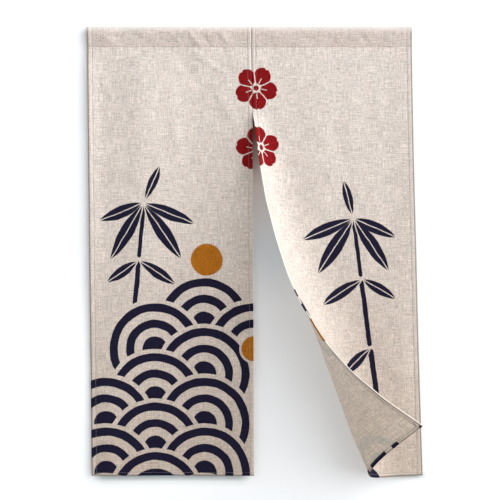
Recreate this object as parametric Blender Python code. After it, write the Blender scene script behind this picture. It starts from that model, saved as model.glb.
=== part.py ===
"""Doorway noren: two linen panels sewn side by side at the top, hanging from a rod pocket.

The left panel hangs flat. The right panel is swept open: its lower inner corner is drawn
forward, up and across, so that the cloth rolls over and shows its reverse.
Metres, +Z up, the viewer in front at -Y. The origin is the middle of the curtain's top edge.
"""
from collections import namedtuple
from math import cos, pi, sin

import bmesh
import bpy
import numpy as np

# Whole curtain
HALF_WIDTH = 0.425
HEIGHT = 1.175
SLIT_TOP = 0.215
RIGHT_WIDTH = 0.4194
LEFT_SPREAD = 0.012
RIGHT_SPREAD = 0.030
SPREAD_POWER = 1.35
SLIT_DRIFT = 0.004

# Cloth and hems
CLOTH = 0.0012
HEM_CLOTH = 0.0024
OUTER_HEM = 0.015
INNER_HEM = 0.012
BOTTOM_HEM = 0.010
HEM_STEP = 0.001
SEAM_GAP = 0.0004
PIECE_GAP = 0.0003

# Rod pocket
POCKET_HEIGHT = 0.052
POCKET_HALF_DEPTH = 0.008
POCKET_TIP = 0.006
TIP_HALF_WIDTH = 0.00015
POCKET_ARC_STEPS = 14

# Soft waves of the hanging cloth
WAVE_DEPTH = 0.003
WAVE_LENGTH = 0.34
WAVE_LEAN = 1.6

# Mesh fineness
CURL_COLUMNS = 24
FLAT_COLUMNS = 8
ROW_STEP = 0.029
ROLL_STEPS = 240

# The right panel at one height: how far down the cloth it is, how many degrees it turns
# towards the viewer and back, where along its width the turn starts and ends, measured
# from the outer edge, and how far its inner end is drawn up.
Section = namedtuple("Section", "down turn turn_from turn_to lift")
SECTIONS = [
    Section(0.215, 0, 0.355, 0.415, 0.000),
    Section(0.255, 30, 0.345, 0.415, 0.001),
    Section(0.350, 45, 0.310, 0.415, 0.003),
    Section(0.450, 57, 0.280, 0.415, 0.008),
    Section(0.580, 67, 0.220, 0.410, 0.020),
    Section(0.700, 76, 0.160, 0.410, 0.038),
    Section(0.820, 88, 0.100, 0.405, 0.060),
    Section(0.940, 110, 0.070, 0.405, 0.084),
    Section(1.060, 135, 0.040, 0.395, 0.122),
    Section(1.175, 162, 0.000, 0.378, 0.162),
]
LIFT_START = 0.20
LIFT_SHARE = 0.50

LINEN = (0.658, 0.597, 0.533)
POCKET_LINEN = (0.617, 0.540, 0.491)
LINEN_ROUGHNESS = 0.9


def clear_scene():
    for thing in list(bpy.data.objects):
        bpy.data.objects.remove(thing, do_unlink=True)


def ease(share):
    """Smooth step from 0 to 1."""
    share = np.clip(share, 0.0, 1.0)
    return share * share * (3.0 - 2.0 * share)


def section_value(down, column):
    """Read one column of SECTIONS at any height, on a smooth curve that never overshoots."""
    heights = np.array([section.down for section in SECTIONS])
    values = np.array([getattr(section, column) for section in SECTIONS], dtype=float)
    gaps = np.diff(heights)
    slopes = np.diff(values) / gaps
    tangents = np.zeros(len(values))
    tangents[-1] = slopes[-1]
    for i in range(1, len(values) - 1):
        before, after = slopes[i - 1], slopes[i]
        if before * after > 0.0:
            tangents[i] = 2.0 * before * after / (before + after)
    down = min(max(down, heights[0]), heights[-1])
    i = min(int(np.searchsorted(heights, down, side="right")) - 1, len(gaps) - 1)
    share = (down - heights[i]) / gaps[i]
    rise = ease(share)
    bend_in = share * (1.0 - share) ** 2 * gaps[i] * tangents[i]
    bend_out = share * share * (share - 1.0) * gaps[i] * tangents[i + 1]
    return values[i] + (values[i + 1] - values[i]) * rise + bend_in + bend_out


def wave(across, down):
    """How far the hanging cloth stands out towards the viewer at a place."""
    strength = WAVE_DEPTH * ease((down - POCKET_HEIGHT) / (HEIGHT - POCKET_HEIGHT))
    return strength * np.sin(2.0 * pi * across / WAVE_LENGTH + WAVE_LEAN * down)


def right_outer_edge(down):
    return HALF_WIDTH + RIGHT_SPREAD * (down / HEIGHT) ** SPREAD_POWER


def left_outer_edge(down):
    return -HALF_WIDTH + LEFT_SPREAD * down / HEIGHT


def seam(down):
    """The sewn edge that both panels share above the slit."""
    return right_outer_edge(down) - RIGHT_WIDTH


def left_inner_edge(down):
    if down <= SLIT_TOP:
        return seam(down) - SEAM_GAP
    hanging = (down - SLIT_TOP) / (HEIGHT - SLIT_TOP)
    return seam(SLIT_TOP) - SEAM_GAP + SLIT_DRIFT * hanging


def left_row(down, distances):
    """Points of the left panel at one height, from its inner edge to its outer one."""
    inner = left_inner_edge(down)
    outer = left_outer_edge(down)
    across = inner + (outer - inner) * distances / distances[-1]
    front = -CLOTH - wave(across, down)
    return np.column_stack([across, front, np.full(len(across), -down)])


def right_row(down, distances):
    """Points of the right panel at one height, from its outer edge to its inner one."""
    steps = np.linspace(0.0, RIGHT_WIDTH, ROLL_STEPS + 1)
    middle = 0.5 * (steps[1:] + steps[:-1])
    step = RIGHT_WIDTH / ROLL_STEPS
    start = section_value(down, "turn_from")
    end = section_value(down, "turn_to")
    turn = np.radians(section_value(down, "turn")) * ease((middle - start) / (end - start))
    lift_from = start + LIFT_START * (end - start)
    lift = ease((middle - lift_from) / (LIFT_SHARE * (end - start)))
    climb = np.arcsin(section_value(down, "lift") * lift / (lift.sum() * step))
    moves = np.column_stack([-np.cos(turn) * np.cos(climb), -np.sin(turn) * np.cos(climb), np.sin(climb)])
    path = np.vstack([np.zeros(3), np.cumsum(moves * step, axis=0)])
    outer = right_outer_edge(down)
    path += (outer, -CLOTH, -down)
    path[:, 1] -= wave(outer - steps, down)
    return np.column_stack([np.interp(distances, steps, path[:, axis]) for axis in range(3)])


def stations(length, count, first_hem, last_hem):
    """Distances along one side of a panel, close together only where a hem's fold ends."""
    inside = np.linspace(first_hem + HEM_STEP, length - last_hem - HEM_STEP, count + 1)
    return np.concatenate([[0.0, first_hem], inside, [length - last_hem, length]])


def row_heights():
    """Heights shared by both panels, with rows on the slit's top and on the bottom hem."""
    top = POCKET_HEIGHT + PIECE_GAP
    sewn = np.linspace(top, SLIT_TOP, 7)
    opening = SLIT_TOP + np.array([0.007, 0.017])
    hem_fold = HEIGHT - BOTTOM_HEM - HEM_STEP
    count = round((hem_fold - opening[-1]) / ROW_STEP)
    hanging = np.linspace(opening[-1], hem_fold, count + 1)[1:]
    return np.concatenate([sewn, opening, hanging, [HEIGHT - BOTTOM_HEM, HEIGHT]])


def linen(name, colour):
    material = bpy.data.materials.new(name)
    material.use_nodes = True
    shader = material.node_tree.nodes["Principled BSDF"]
    shader.inputs["Base Color"].default_value = (*colour, 1.0)
    shader.inputs["Roughness"].default_value = LINEN_ROUGHNESS
    shader.inputs["Metallic"].default_value = 0.0
    return material


def add_object(name, builder, colour):
    mesh = bpy.data.meshes.new(name)
    builder.to_mesh(mesh)
    builder.free()
    mesh.shade_smooth()
    mesh.set_sharp_from_angle(angle=0.7)
    thing = bpy.data.objects.new(name, mesh)
    thing.data.materials.append(linen(name + "_linen", colour))
    bpy.context.scene.collection.objects.link(thing)
    return thing


def add_panel(name, row, distances, first_hem, last_hem):
    """A hemmed sheet. Its front is meshed, and Solidify adds the cloth behind it."""
    heights = row_heights()
    builder = bmesh.new()
    grid = [[builder.verts.new(point) for point in row(down, distances)] for down in heights]
    for upper, lower in zip(grid, grid[1:]):
        for i in range(len(distances) - 1):
            builder.faces.new((upper[i], upper[i + 1], lower[i + 1], lower[i]))
    panel = add_object(name, builder, LINEN)

    hems = panel.vertex_groups.new(name="hems")
    width = distances[-1]
    for j, down in enumerate(heights):
        for i, distance in enumerate(distances):
            side = distance <= first_hem or distance >= width - last_hem
            if side or down >= HEIGHT - BOTTOM_HEM:
                hems.add([j * len(distances) + i], 1.0, "REPLACE")

    cloth = panel.modifiers.new("cloth", "SOLIDIFY")
    cloth.thickness = HEM_CLOTH
    cloth.offset = -1.0
    cloth.use_even_offset = True
    cloth.vertex_group = "hems"
    cloth.thickness_vertex_group = CLOTH / HEM_CLOTH
    return panel


def pocket_loop(half_depth, tip, tip_half_width):
    """A drop-shaped loop across the rod pocket, as (y, z), from the front tip round to the back."""
    centre = -POCKET_HALF_DEPTH
    arc = [pi - pi * i / POCKET_ARC_STEPS for i in range(POCKET_ARC_STEPS + 1)]
    over = [(half_depth * cos(angle), centre + half_depth * sin(angle)) for angle in arc]
    return [(-tip_half_width, tip)] + over + [(tip_half_width, tip)]


def add_sleeve(name, left_end, right_end):
    """Half of the rod pocket: the cloth turned over the rod and stitched down, open at its ends."""
    outer = pocket_loop(POCKET_HALF_DEPTH, -POCKET_HEIGHT, CLOTH)
    inner = pocket_loop(POCKET_HALF_DEPTH - CLOTH, -POCKET_HEIGHT + POCKET_TIP, TIP_HALF_WIDTH)
    builder = bmesh.new()
    ends = []
    for end in (left_end, right_end):
        rings = [[builder.verts.new((end(-z), y, z)) for y, z in loop] for loop in (outer, inner)]
        ends.append(rings)
    (left_outer, left_inner), (right_outer, right_inner) = ends
    count = len(outer)
    for i in range(count):
        j = (i + 1) % count
        builder.faces.new((left_outer[i], left_outer[j], right_outer[j], right_outer[i]))
        builder.faces.new((left_inner[j], left_inner[i], right_inner[i], right_inner[j]))
        builder.faces.new((left_outer[j], left_outer[i], left_inner[i], left_inner[j]))
        builder.faces.new((right_outer[i], right_outer[j], right_inner[j], right_inner[i]))
    bmesh.ops.recalc_face_normals(builder, faces=builder.faces)
    return add_object(name, builder, POCKET_LINEN)


def main():
    clear_scene()
    left_width = HALF_WIDTH + seam(0.0) - SEAM_GAP
    add_panel("left_panel", left_row, stations(left_width, FLAT_COLUMNS, INNER_HEM, OUTER_HEM),
              INNER_HEM, OUTER_HEM)
    add_panel("right_panel", right_row, stations(RIGHT_WIDTH, CURL_COLUMNS, OUTER_HEM, INNER_HEM),
              OUTER_HEM, INNER_HEM)
    add_sleeve("left_sleeve", left_outer_edge, left_inner_edge)
    add_sleeve("right_sleeve", seam, right_outer_edge)


main()
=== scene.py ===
"""Looks of a doorway noren: printed linen panels, hems, rod pocket, seam and stitching.

The cloth follows the same rows as the solids, in finer steps and with its real thickness.
Flat cloth has its own coordinates in metres: "across" is 0 at the centre seam and grows to
the viewer's right, and "down" is 0 at the top edge and grows towards the bottom hem.
"""
from collections import namedtuple
from math import cos, pi, radians, sin

import bmesh
import bpy
import numpy as np
from bpy.props import FloatProperty, FloatVectorProperty, PointerProperty
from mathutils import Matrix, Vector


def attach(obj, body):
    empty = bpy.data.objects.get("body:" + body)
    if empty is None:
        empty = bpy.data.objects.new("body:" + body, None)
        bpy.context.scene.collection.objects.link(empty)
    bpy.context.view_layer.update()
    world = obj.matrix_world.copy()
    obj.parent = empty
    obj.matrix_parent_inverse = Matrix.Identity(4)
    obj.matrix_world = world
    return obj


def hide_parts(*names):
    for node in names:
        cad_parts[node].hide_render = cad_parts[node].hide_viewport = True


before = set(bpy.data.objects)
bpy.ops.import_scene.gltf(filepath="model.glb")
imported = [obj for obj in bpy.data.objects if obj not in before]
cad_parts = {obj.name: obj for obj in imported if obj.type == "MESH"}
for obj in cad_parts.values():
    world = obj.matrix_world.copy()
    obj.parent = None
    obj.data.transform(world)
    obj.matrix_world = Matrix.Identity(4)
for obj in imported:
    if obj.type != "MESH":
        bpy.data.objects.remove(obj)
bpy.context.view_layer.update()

bl_info = {
    "name": "Noren Maker",
    "version": (1, 0, 0),
    "blender": (4, 5, 0),
    "location": "3D View > Sidebar > Noren",
    "description": "Makes a printed linen doorway curtain with a rod pocket and a centre slit",
    "category": "Add Mesh",
}

# The hanging cloth, as in the solids
HALF_WIDTH = 0.425
HEIGHT = 1.175
SLIT_TOP = 0.215
RIGHT_WIDTH = 0.4194
LEFT_SPREAD = 0.012
RIGHT_SPREAD = 0.030
SPREAD_POWER = 1.35
SLIT_DRIFT = 0.004
SOLID_CLOTH = 0.0012
POCKET_HEIGHT = 0.052
POCKET_HALF_DEPTH = 0.008
WAVE_DEPTH = 0.003
WAVE_LENGTH = 0.34
WAVE_LEAN = 1.6
ROLL_STEPS = 420

# Rows of the right panel: how far down, how many degrees it turns towards the viewer and
# back, where the turn starts and ends from the outer edge, and how far its end is lifted.
Section = namedtuple("Section", "down turn turn_from turn_to lift")
SECTIONS = [
    Section(0.215, 0, 0.355, 0.415, 0.000),
    Section(0.255, 30, 0.345, 0.415, 0.001),
    Section(0.350, 45, 0.310, 0.415, 0.003),
    Section(0.450, 57, 0.280, 0.415, 0.008),
    Section(0.580, 67, 0.220, 0.410, 0.020),
    Section(0.700, 76, 0.160, 0.410, 0.038),
    Section(0.820, 88, 0.100, 0.405, 0.060),
    Section(0.940, 110, 0.070, 0.405, 0.084),
    Section(1.060, 135, 0.040, 0.395, 0.122),
    Section(1.175, 162, 0.000, 0.378, 0.162),
]
LIFT_START = 0.20
LIFT_SHARE = 0.50

# Hems and stitch lines, measured from the edge that they run along
OUTER_HEM = 0.015
INNER_HEM = 0.012
BOTTOM_HEM = 0.010
STITCH_INSET = 0.0016
POCKET_TURN_IN = 0.0035
POCKET_BACK = 0.0022
SEAM_CLEARANCE = 0.0001
SEAM_DIP = 0.0014
SEAM_DIP_WIDTH = 0.0026
SEAM_FADE = 0.008
HEM_PUFF = 0.0006
BACK_PUFF_SHARE = 0.6
HEM_RISE = 0.0006
TURN_IN_SHARE = 0.6
TURN_IN_FADE = 0.0008
SOFT_RIM = 0.0036
HARD_RIM_SHARE = 0.75
RIM_ROUNDNESS = 0.86
THINNEST_SHARE = 0.45

# A stitch line draws the cloth in and puckers it between its stitches
GROOVE_DEPTH = 0.00042
GROOVE_WIDTH = 0.0012
PUCKER_DEPTH = 0.00030
PUCKER_WIDTH = 0.0046
PUCKER_PITCH = 0.0125
PUCKER_SWAY = 1.7
PUCKER_SWAY_PITCH = 0.071
POCKET_GROOVE_SHARE = 0.8

# Painted highlights, as shares: along the inner edges and over the rod, where the folded cloth catches the
# light, and how far each reaches
SEWN_EDGE_HIGHLIGHT = 0.14
OPEN_EDGE_HIGHLIGHT = 0.80
OPEN_EDGE_FADE = 0.03
EDGE_HIGHLIGHT_WIDTH = 0.0027
EDGE_HIGHLIGHT_FADE = 0.0018
REVERSE_HIGHLIGHT_WIDTH = 0.0022
REVERSE_HIGHLIGHT_FADE = 0.0014
OVER_ROD_HIGHLIGHT = 0.38
OVER_ROD_FRONT = 0.020
OVER_ROD_FRONT_FADE = 0.016
OVER_ROD_BACK = 0.016
OVER_ROD_BACK_FADE = 0.010

# Painted shadow under the inner hem's folded edge, which darkens the reverse where the corner is drawn up
FOLD_SHARE = 0.9
FOLD_FROM = 0.84
FOLD_FADE = 0.20

# Mesh fineness
CLOTH_STEP = 0.0046
POCKET_ARC_STEPS = 16
POCKET_SIDE_STEPS = 9
RIM_STATIONS = (0.0, 0.0004, 0.0010, 0.0018, 0.0034)
GROOVE_STEP = 0.0008
GROOVE_STATIONS = (-2, -1, 0, 1)
HEM_END_STATIONS = (-0.0002, 0.0004, 0.0024)

# Lines where the cloth has been folded for storage: their distances down from the top, their
# height and half width, and how far they wander. They wander and fade in waves: a rate is in
# radians per metre across, and a start in radians per metre that the line lies down.
FOLD_LINES = (0.294, 0.588, 0.881)
FOLD_LINE_HEIGHT = 0.00040
FOLD_LINE_WIDTH = 0.0042
FOLD_LINE_WANDER = 0.0022
WANDER_RATE, WANDER_START = 9.0, 40.0
FADE_RATE, FADE_START = 23.0, 11.0
FADE_MIDDLE, FADE_SWING = 0.55, 0.45

# Creases and folds are weaker where the cloth is drawn over the rod
OVER_ROD_CREASES = 0.3

# Soft creases: middle, direction in degrees from level, half length, half width and height
Crease = namedtuple("Crease", "across down angle half_length half_width height")
CREASES = [
    Crease(-0.150, 0.030, 52, 0.040, 0.0050, 0.00430),
    Crease(-0.118, 0.034, 60, 0.036, 0.0045, -0.00391),
    Crease(-0.200, 0.028, 38, 0.034, 0.0055, 0.00352),
    Crease(-0.072, 0.030, 48, 0.030, 0.0050, 0.00274),
    Crease(-0.290, 0.030, 28, 0.040, 0.0060, -0.00313),
    Crease(-0.370, 0.034, 20, 0.040, 0.0060, 0.00274),
    Crease(0.060, 0.030, -24, 0.036, 0.0060, 0.00274),
    Crease(0.150, 0.032, 22, 0.040, 0.0060, -0.00274),
    Crease(0.235, 0.028, -30, 0.036, 0.0055, 0.00313),
    Crease(0.292, 0.030, 48, 0.034, 0.0055, -0.00391),
    Crease(0.360, 0.032, 16, 0.040, 0.0060, 0.00235),
    Crease(-0.110, 0.096, 34, 0.085, 0.0090, 0.00274),
    Crease(-0.165, 0.120, 58, 0.090, 0.0120, -0.00243),
    Crease(-0.060, 0.230, 64, 0.110, 0.0140, 0.00243),
    Crease(-0.205, 0.250, 84, 0.160, 0.0180, 0.00334),
    Crease(-0.330, 0.330, 96, 0.150, 0.0200, -0.00166),
    Crease(-0.382, 0.150, 70, 0.070, 0.0120, 0.00147),
    Crease(-0.385, 0.862, 42, 0.050, 0.0090, 0.00184),
    Crease(-0.352, 0.955, 24, 0.060, 0.0110, -0.00147),
    Crease(-0.290, 1.040, 152, 0.080, 0.0130, 0.00129),
    Crease(0.330, 0.170, 96, 0.120, 0.0160, 0.00184),
    Crease(0.225, 0.300, 72, 0.110, 0.0150, -0.00129),
    Crease(0.385, 0.455, 88, 0.090, 0.0110, -0.00147),
    Crease(0.372, 0.612, 18, 0.040, 0.0080, 0.00166),
    Crease(0.372, 0.905, -18, 0.050, 0.0090, 0.00147),
    Crease(0.300, 1.020, -30, 0.070, 0.0110, 0.00110),
    Crease(0.110, 1.060, 60, 0.070, 0.0100, 0.00129),
    Crease(0.010, 1.156, 118, 0.026, 0.0024, 0.00172),
    Crease(0.020, 1.162, 155, 0.026, 0.0024, -0.00172),
    Crease(0.014, 1.150, 136, 0.034, 0.0030, 0.00127),
]

# Soft upright folds: crests and hollows across both panels, as (across, height) in metres,
# for the upper cloth and for the cloth near the bottom hem
UPPER_FOLDS = [
    (-0.4306, 0.0034), (-0.392, -0.0032), (-0.288, 0.0046), (-0.160, -0.0046), (0.0, 0.0026),
    (0.055, 0.0003), (0.090, 0.0), (0.180, 0.0026), (0.243, 0.0012), (0.264, 0.0017),
    (0.337, -0.0003), (0.4194, 0.0036),
]
LOWER_FOLDS = [
    (-0.4306, -0.0026), (-0.375, 0.0012), (-0.335, -0.0011), (-0.250, -0.0002), (-0.130, 0.0006),
    (0.0, -0.0004), (0.100, 0.0005), (0.250, -0.0006), (0.370, 0.0012), (0.4194, -0.0028),
]
FOLDS_BEGIN = (0.045, 0.140)
FOLDS_CHANGE = (0.52, 0.94)

# Slow unevenness of the cloth: waves per metre across and down, start and height
Ripple = namedtuple("Ripple", "across down start height")
RIPPLES = [
    Ripple(7.3, 2.1, 0.4, 0.00042),
    Ripple(-4.1, 9.7, 1.9, 0.00030),
    Ripple(15.7, -6.3, 2.6, 0.00016),
    Ripple(11.9, 17.1, 4.4, 0.00010),
]

# The print, in flat cloth coordinates
SCALE_RADIUS = 0.130
SCALE_RINGS = 3
RING_HALF = 0.0106
SCALE_CORE = 0.0320
SCALE_FIRST_ROW = 0.9725
SHORE_TOP = 0.765
SHORE_MIDDLE = -0.100
SHORE_STEEPNESS = 2.9
RIGHT_STEEPNESS = 26.0
BAY_TOP = 0.900
BAY_HALF_WIDTH = 0.05
MOTIF_CLEARANCE = 0.0056
INK_EDGE = 0.0009
HAND_DRAWN_SCALE = 26.0
HAND_DRAWN_WOBBLE = 0.0052
INK_WEAR = 0.9

Leaf = namedtuple("Leaf", "across down angle length half_width")
LEAVES = [
    Leaf(-0.283, 0.462, 22, 0.140, 0.0165),
    Leaf(-0.284, 0.466, 56, 0.172, 0.0185),
    Leaf(-0.289, 0.466, 121, 0.168, 0.0180),
    Leaf(-0.290, 0.462, 158, 0.122, 0.0160),
    Leaf(-0.282, 0.452, -66, 0.098, 0.0120),
    Leaf(-0.297, 0.612, 34, 0.112, 0.0145),
    Leaf(-0.304, 0.614, 146, 0.098, 0.0140),
    Leaf(-0.312, 0.782, 42, 0.104, 0.0140),
    Leaf(0.260, 0.502, 24, 0.118, 0.0155),
    Leaf(0.261, 0.506, 57, 0.158, 0.0180),
    Leaf(0.255, 0.506, 124, 0.172, 0.0185),
    Leaf(0.254, 0.502, 157, 0.146, 0.0165),
    Leaf(0.256, 0.492, -104, 0.092, 0.0120),
    Leaf(0.273, 0.662, 148, 0.126, 0.0150),
    Leaf(0.279, 0.660, 32, 0.098, 0.0140),
    Leaf(0.290, 0.842, 138, 0.104, 0.0140),
]
LEAF_RIB = 0.0012

Stalk = namedtuple("Stalk", "across down angle half_length half_width")
STALKS = [
    Stalk(-0.2925, 0.5350, 95.7, 0.0690, 0.0052),
    Stalk(-0.3080, 0.6930, 95.7, 0.0830, 0.0062),
    Stalk(-0.3260, 0.8720, 95.7, 0.0900, 0.0072),
    Stalk(-0.3450, 1.0600, 95.7, 0.0920, 0.0080),
    Stalk(0.2655, 0.5800, 84.1, 0.0740, 0.0052),
    Stalk(0.2825, 0.7480, 84.1, 0.0880, 0.0062),
    Stalk(0.3015, 0.9330, 84.1, 0.0910, 0.0072),
]

Disc = namedtuple("Disc", "across down radius")
CORNER_WAVE = Disc(0.150, 1.184, 0.0870)
CORNER_STONE = Disc(0.266, 1.181, 0.0300)
MOON = Disc(-0.122, 0.610, 0.042)
SCALE_LIGHT = Disc(0.0, 0.8425, 0.0320)

Blossom = namedtuple("Blossom", "across down angle size")
BLOSSOMS = [Blossom(0.010, 0.160, 12, 1.0), Blossom(0.012, 0.320, -24, 1.0)]
PETAL_REACH = 0.0345
PETAL_RADIUS = 0.0225
PETAL_GAP = 0.0013
NOTCH_REACH = 0.0605
NOTCH_RADIUS = 0.0062
EYE_RADIUS = 0.0072
EYE_RING = 0.0034
STAMEN_MIDDLE = 0.0215
STAMEN_HALF_LENGTH = 0.0075
STAMEN_HALF_WIDTH = 0.0010

# Tints between which the yarns vary
COOL_YARN = (0.945, 1.01, 1.025)
WARM_YARN = (1.055, 0.99, 0.975)

# Unevenness of the yarns, in waves per metre across and down
YARN_SWAY_SCALE = (70.0, 70.0)
WEFT_LINES = (24.0, 540.0)
WARP_LINES = (540.0, 24.0)
WEFT_SLUBS = (95.0, 640.0)
WARP_SLUBS = (640.0, 95.0)
HEATHER = (610.0, 570.0)
MOTTLE = (17.0, 14.0)
FLECKS = (300.0, 900.0)
WARMTH = (38.0, 30.0)

# How far the yarns sway, how round they are, and how much each part of them counts for tone
# and height
YARN_SWAY = 0.0011
YARN_ROUNDNESS = 0.6
CROSSING_MIDDLE = 0.6
LINE_TONE = 0.72
SLUB_TONE = 0.70
HEATHER_TONE = 0.95
MOTTLE_TONE = 0.14
CROSSING_TONE = 0.10
SLUB_HEIGHT = 1.3
FLECK_SHARPNESS, FLECK_LEVEL = 9.0, -6.4
FLECK_SHARE = 0.20

# Painted shade along the sewn edges: in the stitch grooves, on the rolled outer and bottom edges, along the
# seam, and under the reverse's inner fold; half widths and softness, and how strongly they are tinted
STITCH_LINE = (0.0009, 0.0010)
STITCH_LINE_SHARE = 0.50
STITCH_UNEVEN_SCALE = (210.0, 210.0)
STITCH_UNEVENNESS, STITCH_UNEVEN_LEVEL = 3.4, -0.85
BORDER = (0.0038, 0.0020)
BORDER_SHARE = 0.80
SEAM_LINE = (0.0010, 0.0008)
FOLD_MIDDLE = 0.0034
FOLD_LINE = (0.0012, 0.0012)
CLOTH_LAYER_EDGE = 0.0010
HEM_TINT = (0.8, 0.76, 0.72)
HEM_TINT_SHARE = 0.10

# Surface of the cloth and of the thread
CLOTH_ROUGHNESS, YARN_GLOSS = 0.93, -0.10
WEAVE_STRENGTH = 0.55
CLOTH_SPECULAR = 0.05
CLOTH_SHEEN = 0.015
CLOTH_SHEEN_ROUGHNESS = 0.5
TWIST_SCALE = (1500.0, 1500.0)
THREAD_ROUGHNESS, TWIST_ROUGHNESS = 0.6, 0.2
THREAD_LIGHT, THREAD_DARK = 1.12, 0.82
THREAD_SPECULAR = 0.15
THREAD_SHEEN = 0.05

# Thread
STITCH_PITCH = 0.0042
STITCH_LENGTH = 0.0031
THREAD_RADIUS = 0.00026
STITCH_LIFT = 0.00012
LINE_POINTS = 900
STITCH_END = 0.004
POCKET_STITCH_END = 0.003
STITCH_TOP_INSET = 0.0015
SEAM_STITCH_PITCH = 0.0060
SEAM_STITCH_REACH = 0.0016
SEAM_STITCH_LENGTH = 2.2 * SEAM_STITCH_REACH
SEAM_STITCH_SLANT = 0.0012
SEAM_STITCH_START = 0.003
SEAM_STITCH_FRONT = 0.0004
SEAM_STITCH_BACK = 0.0017
TACK_HEIGHT = 0.0090
TACK_STITCHES = 11
TACK_END = 0.0006
TACK_LENGTH = 0.0058
TACK_THREAD = 1.5
TACK_SLANT = 0.10
TACK_FRONT = 0.0002
TACK_BACK = 0.0024
KNOT_RADIUS = 0.0031
KNOT_THREAD = 0.00120
KNOT_DEPTH = 1.0 / 2.2
KNOT_RINGS = 72
KNOT_SIDES = 7
KNOT_INSET = 0.0042
KNOT_SINK = 0.6

# A stitch from end to end: place along it, thickness, and how far its ends sink into the cloth
STITCH_PROFILE = ((-0.5, 0.0, -1.4), (-0.28, 1.0, 0.0), (0.28, 1.0, 0.0), (0.5, 0.0, -1.4))

# Stage
PICTURE_CENTRE = (0.002, -0.584)
PICTURE_SIZE = 1.3095
SENSOR_WIDTH = 36.0
WALL_SIZE = (4.4, 3.4)
FLOOR_SIZE = 7.0
FLOOR_LEVEL = -1.95
PAINT_MOTTLE = (3.0, 3.0)
DARKER_PAINT = 0.985
PAINT_ROUGHNESS = 0.9
PAINT_SPECULAR = 0.1

# Light: the lamp at the window, and how strongly the room shines from each direction
WINDOW_PLACE = (5.9, -3.0, 3.8)
WINDOW_SIZE = 2.6
WINDOW_SPREAD = 58
WINDOW_COLOUR = (1.0, 0.985, 0.955)
ROOM_COLOUR = (0.955, 0.975, 1.0)
EVEN_LIGHT = 0.10
CEILING_LIGHT = 0.20
SIDE_LIGHT = 2.65
WINDOW_SIDE_LIGHT = 1.40
BEHIND_SHARPNESS = 8.0
BEHIND_LOSS = 0.42

# The wall's shadow behind the slit: distance down and tint, then its middle, half width and
# softness across
SLIT_SHADE = (
    (0.060, (1.00, 1.000, 1.000)),
    (0.160, (0.05, 0.035, 0.030)),
    (0.250, (0.10, 0.065, 0.050)),
    (0.285, (0.20, 0.140, 0.110)),
    (0.337, (0.40, 0.330, 0.295)),
    (0.375, (0.62, 0.540, 0.500)),
    (0.416, (0.77, 0.690, 0.660)),
    (0.586, (0.78, 0.820, 0.860)),
    (0.740, (1.00, 1.000, 1.000)),
)
SLIT_SHADOW_MIDDLE = 0.04
SLIT_SHADOW_HALF_WIDTH = 0.08
SLIT_SHADOW_EDGE = 0.05

# The wall's shadow just under the bottom hems: distance below the hem and tint, then its
# softness across, and the middle, half width and height of each panel's share of it
HEM_SHADE = (
    (-0.0200, (1.00, 1.00, 1.00)),
    (-0.0100, (0.48, 0.53, 0.59)),
    (0.0000, (0.48, 0.53, 0.59)),
    (0.0055, (0.50, 0.55, 0.56)),
    (0.0110, (0.63, 0.66, 0.64)),
    (0.0165, (0.86, 0.88, 0.87)),
    (0.0220, (0.92, 0.93, 0.91)),
    (0.0320, (1.00, 1.00, 1.00)),
)
HEM_SHADOW_EDGE = 0.03
HemShadow = namedtuple("HemShadow", "middle half_width height")
HEM_SHADOWS = (HemShadow(-0.205, 0.195, 1.0), HemShadow(0.392, 0.060, 0.5))


# Shape of the cloth


def ease(share):
    """Smooth step from 0 to 1."""
    share = np.clip(share, 0.0, 1.0)
    return share * share * (3.0 - 2.0 * share)


def section_value(down, column):
    """Read one column of SECTIONS at any height, on a smooth curve that never overshoots."""
    heights = np.array([section.down for section in SECTIONS])
    values = np.array([getattr(section, column) for section in SECTIONS], dtype=float)
    gaps = np.diff(heights)
    slopes = np.diff(values) / gaps
    tangents = np.zeros(len(values))
    tangents[-1] = slopes[-1]
    for i in range(1, len(values) - 1):
        before, after = slopes[i - 1], slopes[i]
        if before * after > 0.0:
            tangents[i] = 2.0 * before * after / (before + after)
    down = min(max(down, heights[0]), heights[-1])
    i = min(int(np.searchsorted(heights, down, side="right")) - 1, len(gaps) - 1)
    share = (down - heights[i]) / gaps[i]
    bend_in = share * (1.0 - share) ** 2 * gaps[i] * tangents[i]
    bend_out = share * share * (share - 1.0) * gaps[i] * tangents[i + 1]
    return values[i] + (values[i + 1] - values[i]) * ease(share) + bend_in + bend_out


def wave(across, down):
    """How far the hanging cloth stands out towards the viewer at a place."""
    strength = WAVE_DEPTH * ease((down - POCKET_HEIGHT) / (HEIGHT - POCKET_HEIGHT))
    return strength * np.sin(2.0 * pi * across / WAVE_LENGTH + WAVE_LEAN * down)


def right_outer_edge(down):
    """The curtain's right edge, which leans out downwards."""
    return HALF_WIDTH + RIGHT_SPREAD * (down / HEIGHT) ** SPREAD_POWER


def left_outer_edge(down):
    """The curtain's left edge."""
    return -HALF_WIDTH + LEFT_SPREAD * down / HEIGHT


def seam(down):
    """The sewn edge that both panels share above the slit."""
    return right_outer_edge(down) - RIGHT_WIDTH


def left_inner_edge(down):
    """The left panel's inner edge: on the seam, then free below the slit's top."""
    hanging = max(down - SLIT_TOP, 0.0) / (HEIGHT - SLIT_TOP)
    return seam(min(down, SLIT_TOP)) - SEAM_CLEARANCE + SLIT_DRIFT * hanging


LEFT_WIDTH = HALF_WIDTH + seam(0.0) - SEAM_CLEARANCE


def left_row(down, distances):
    """Points of the left panel at one height, from its inner edge to its outer one."""
    inner = left_inner_edge(down)
    outer = left_outer_edge(down)
    places = inner + (outer - inner) * distances / distances[-1]
    return np.column_stack([places, -SOLID_CLOTH - wave(places, down), np.full(len(places), -down)])


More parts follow.
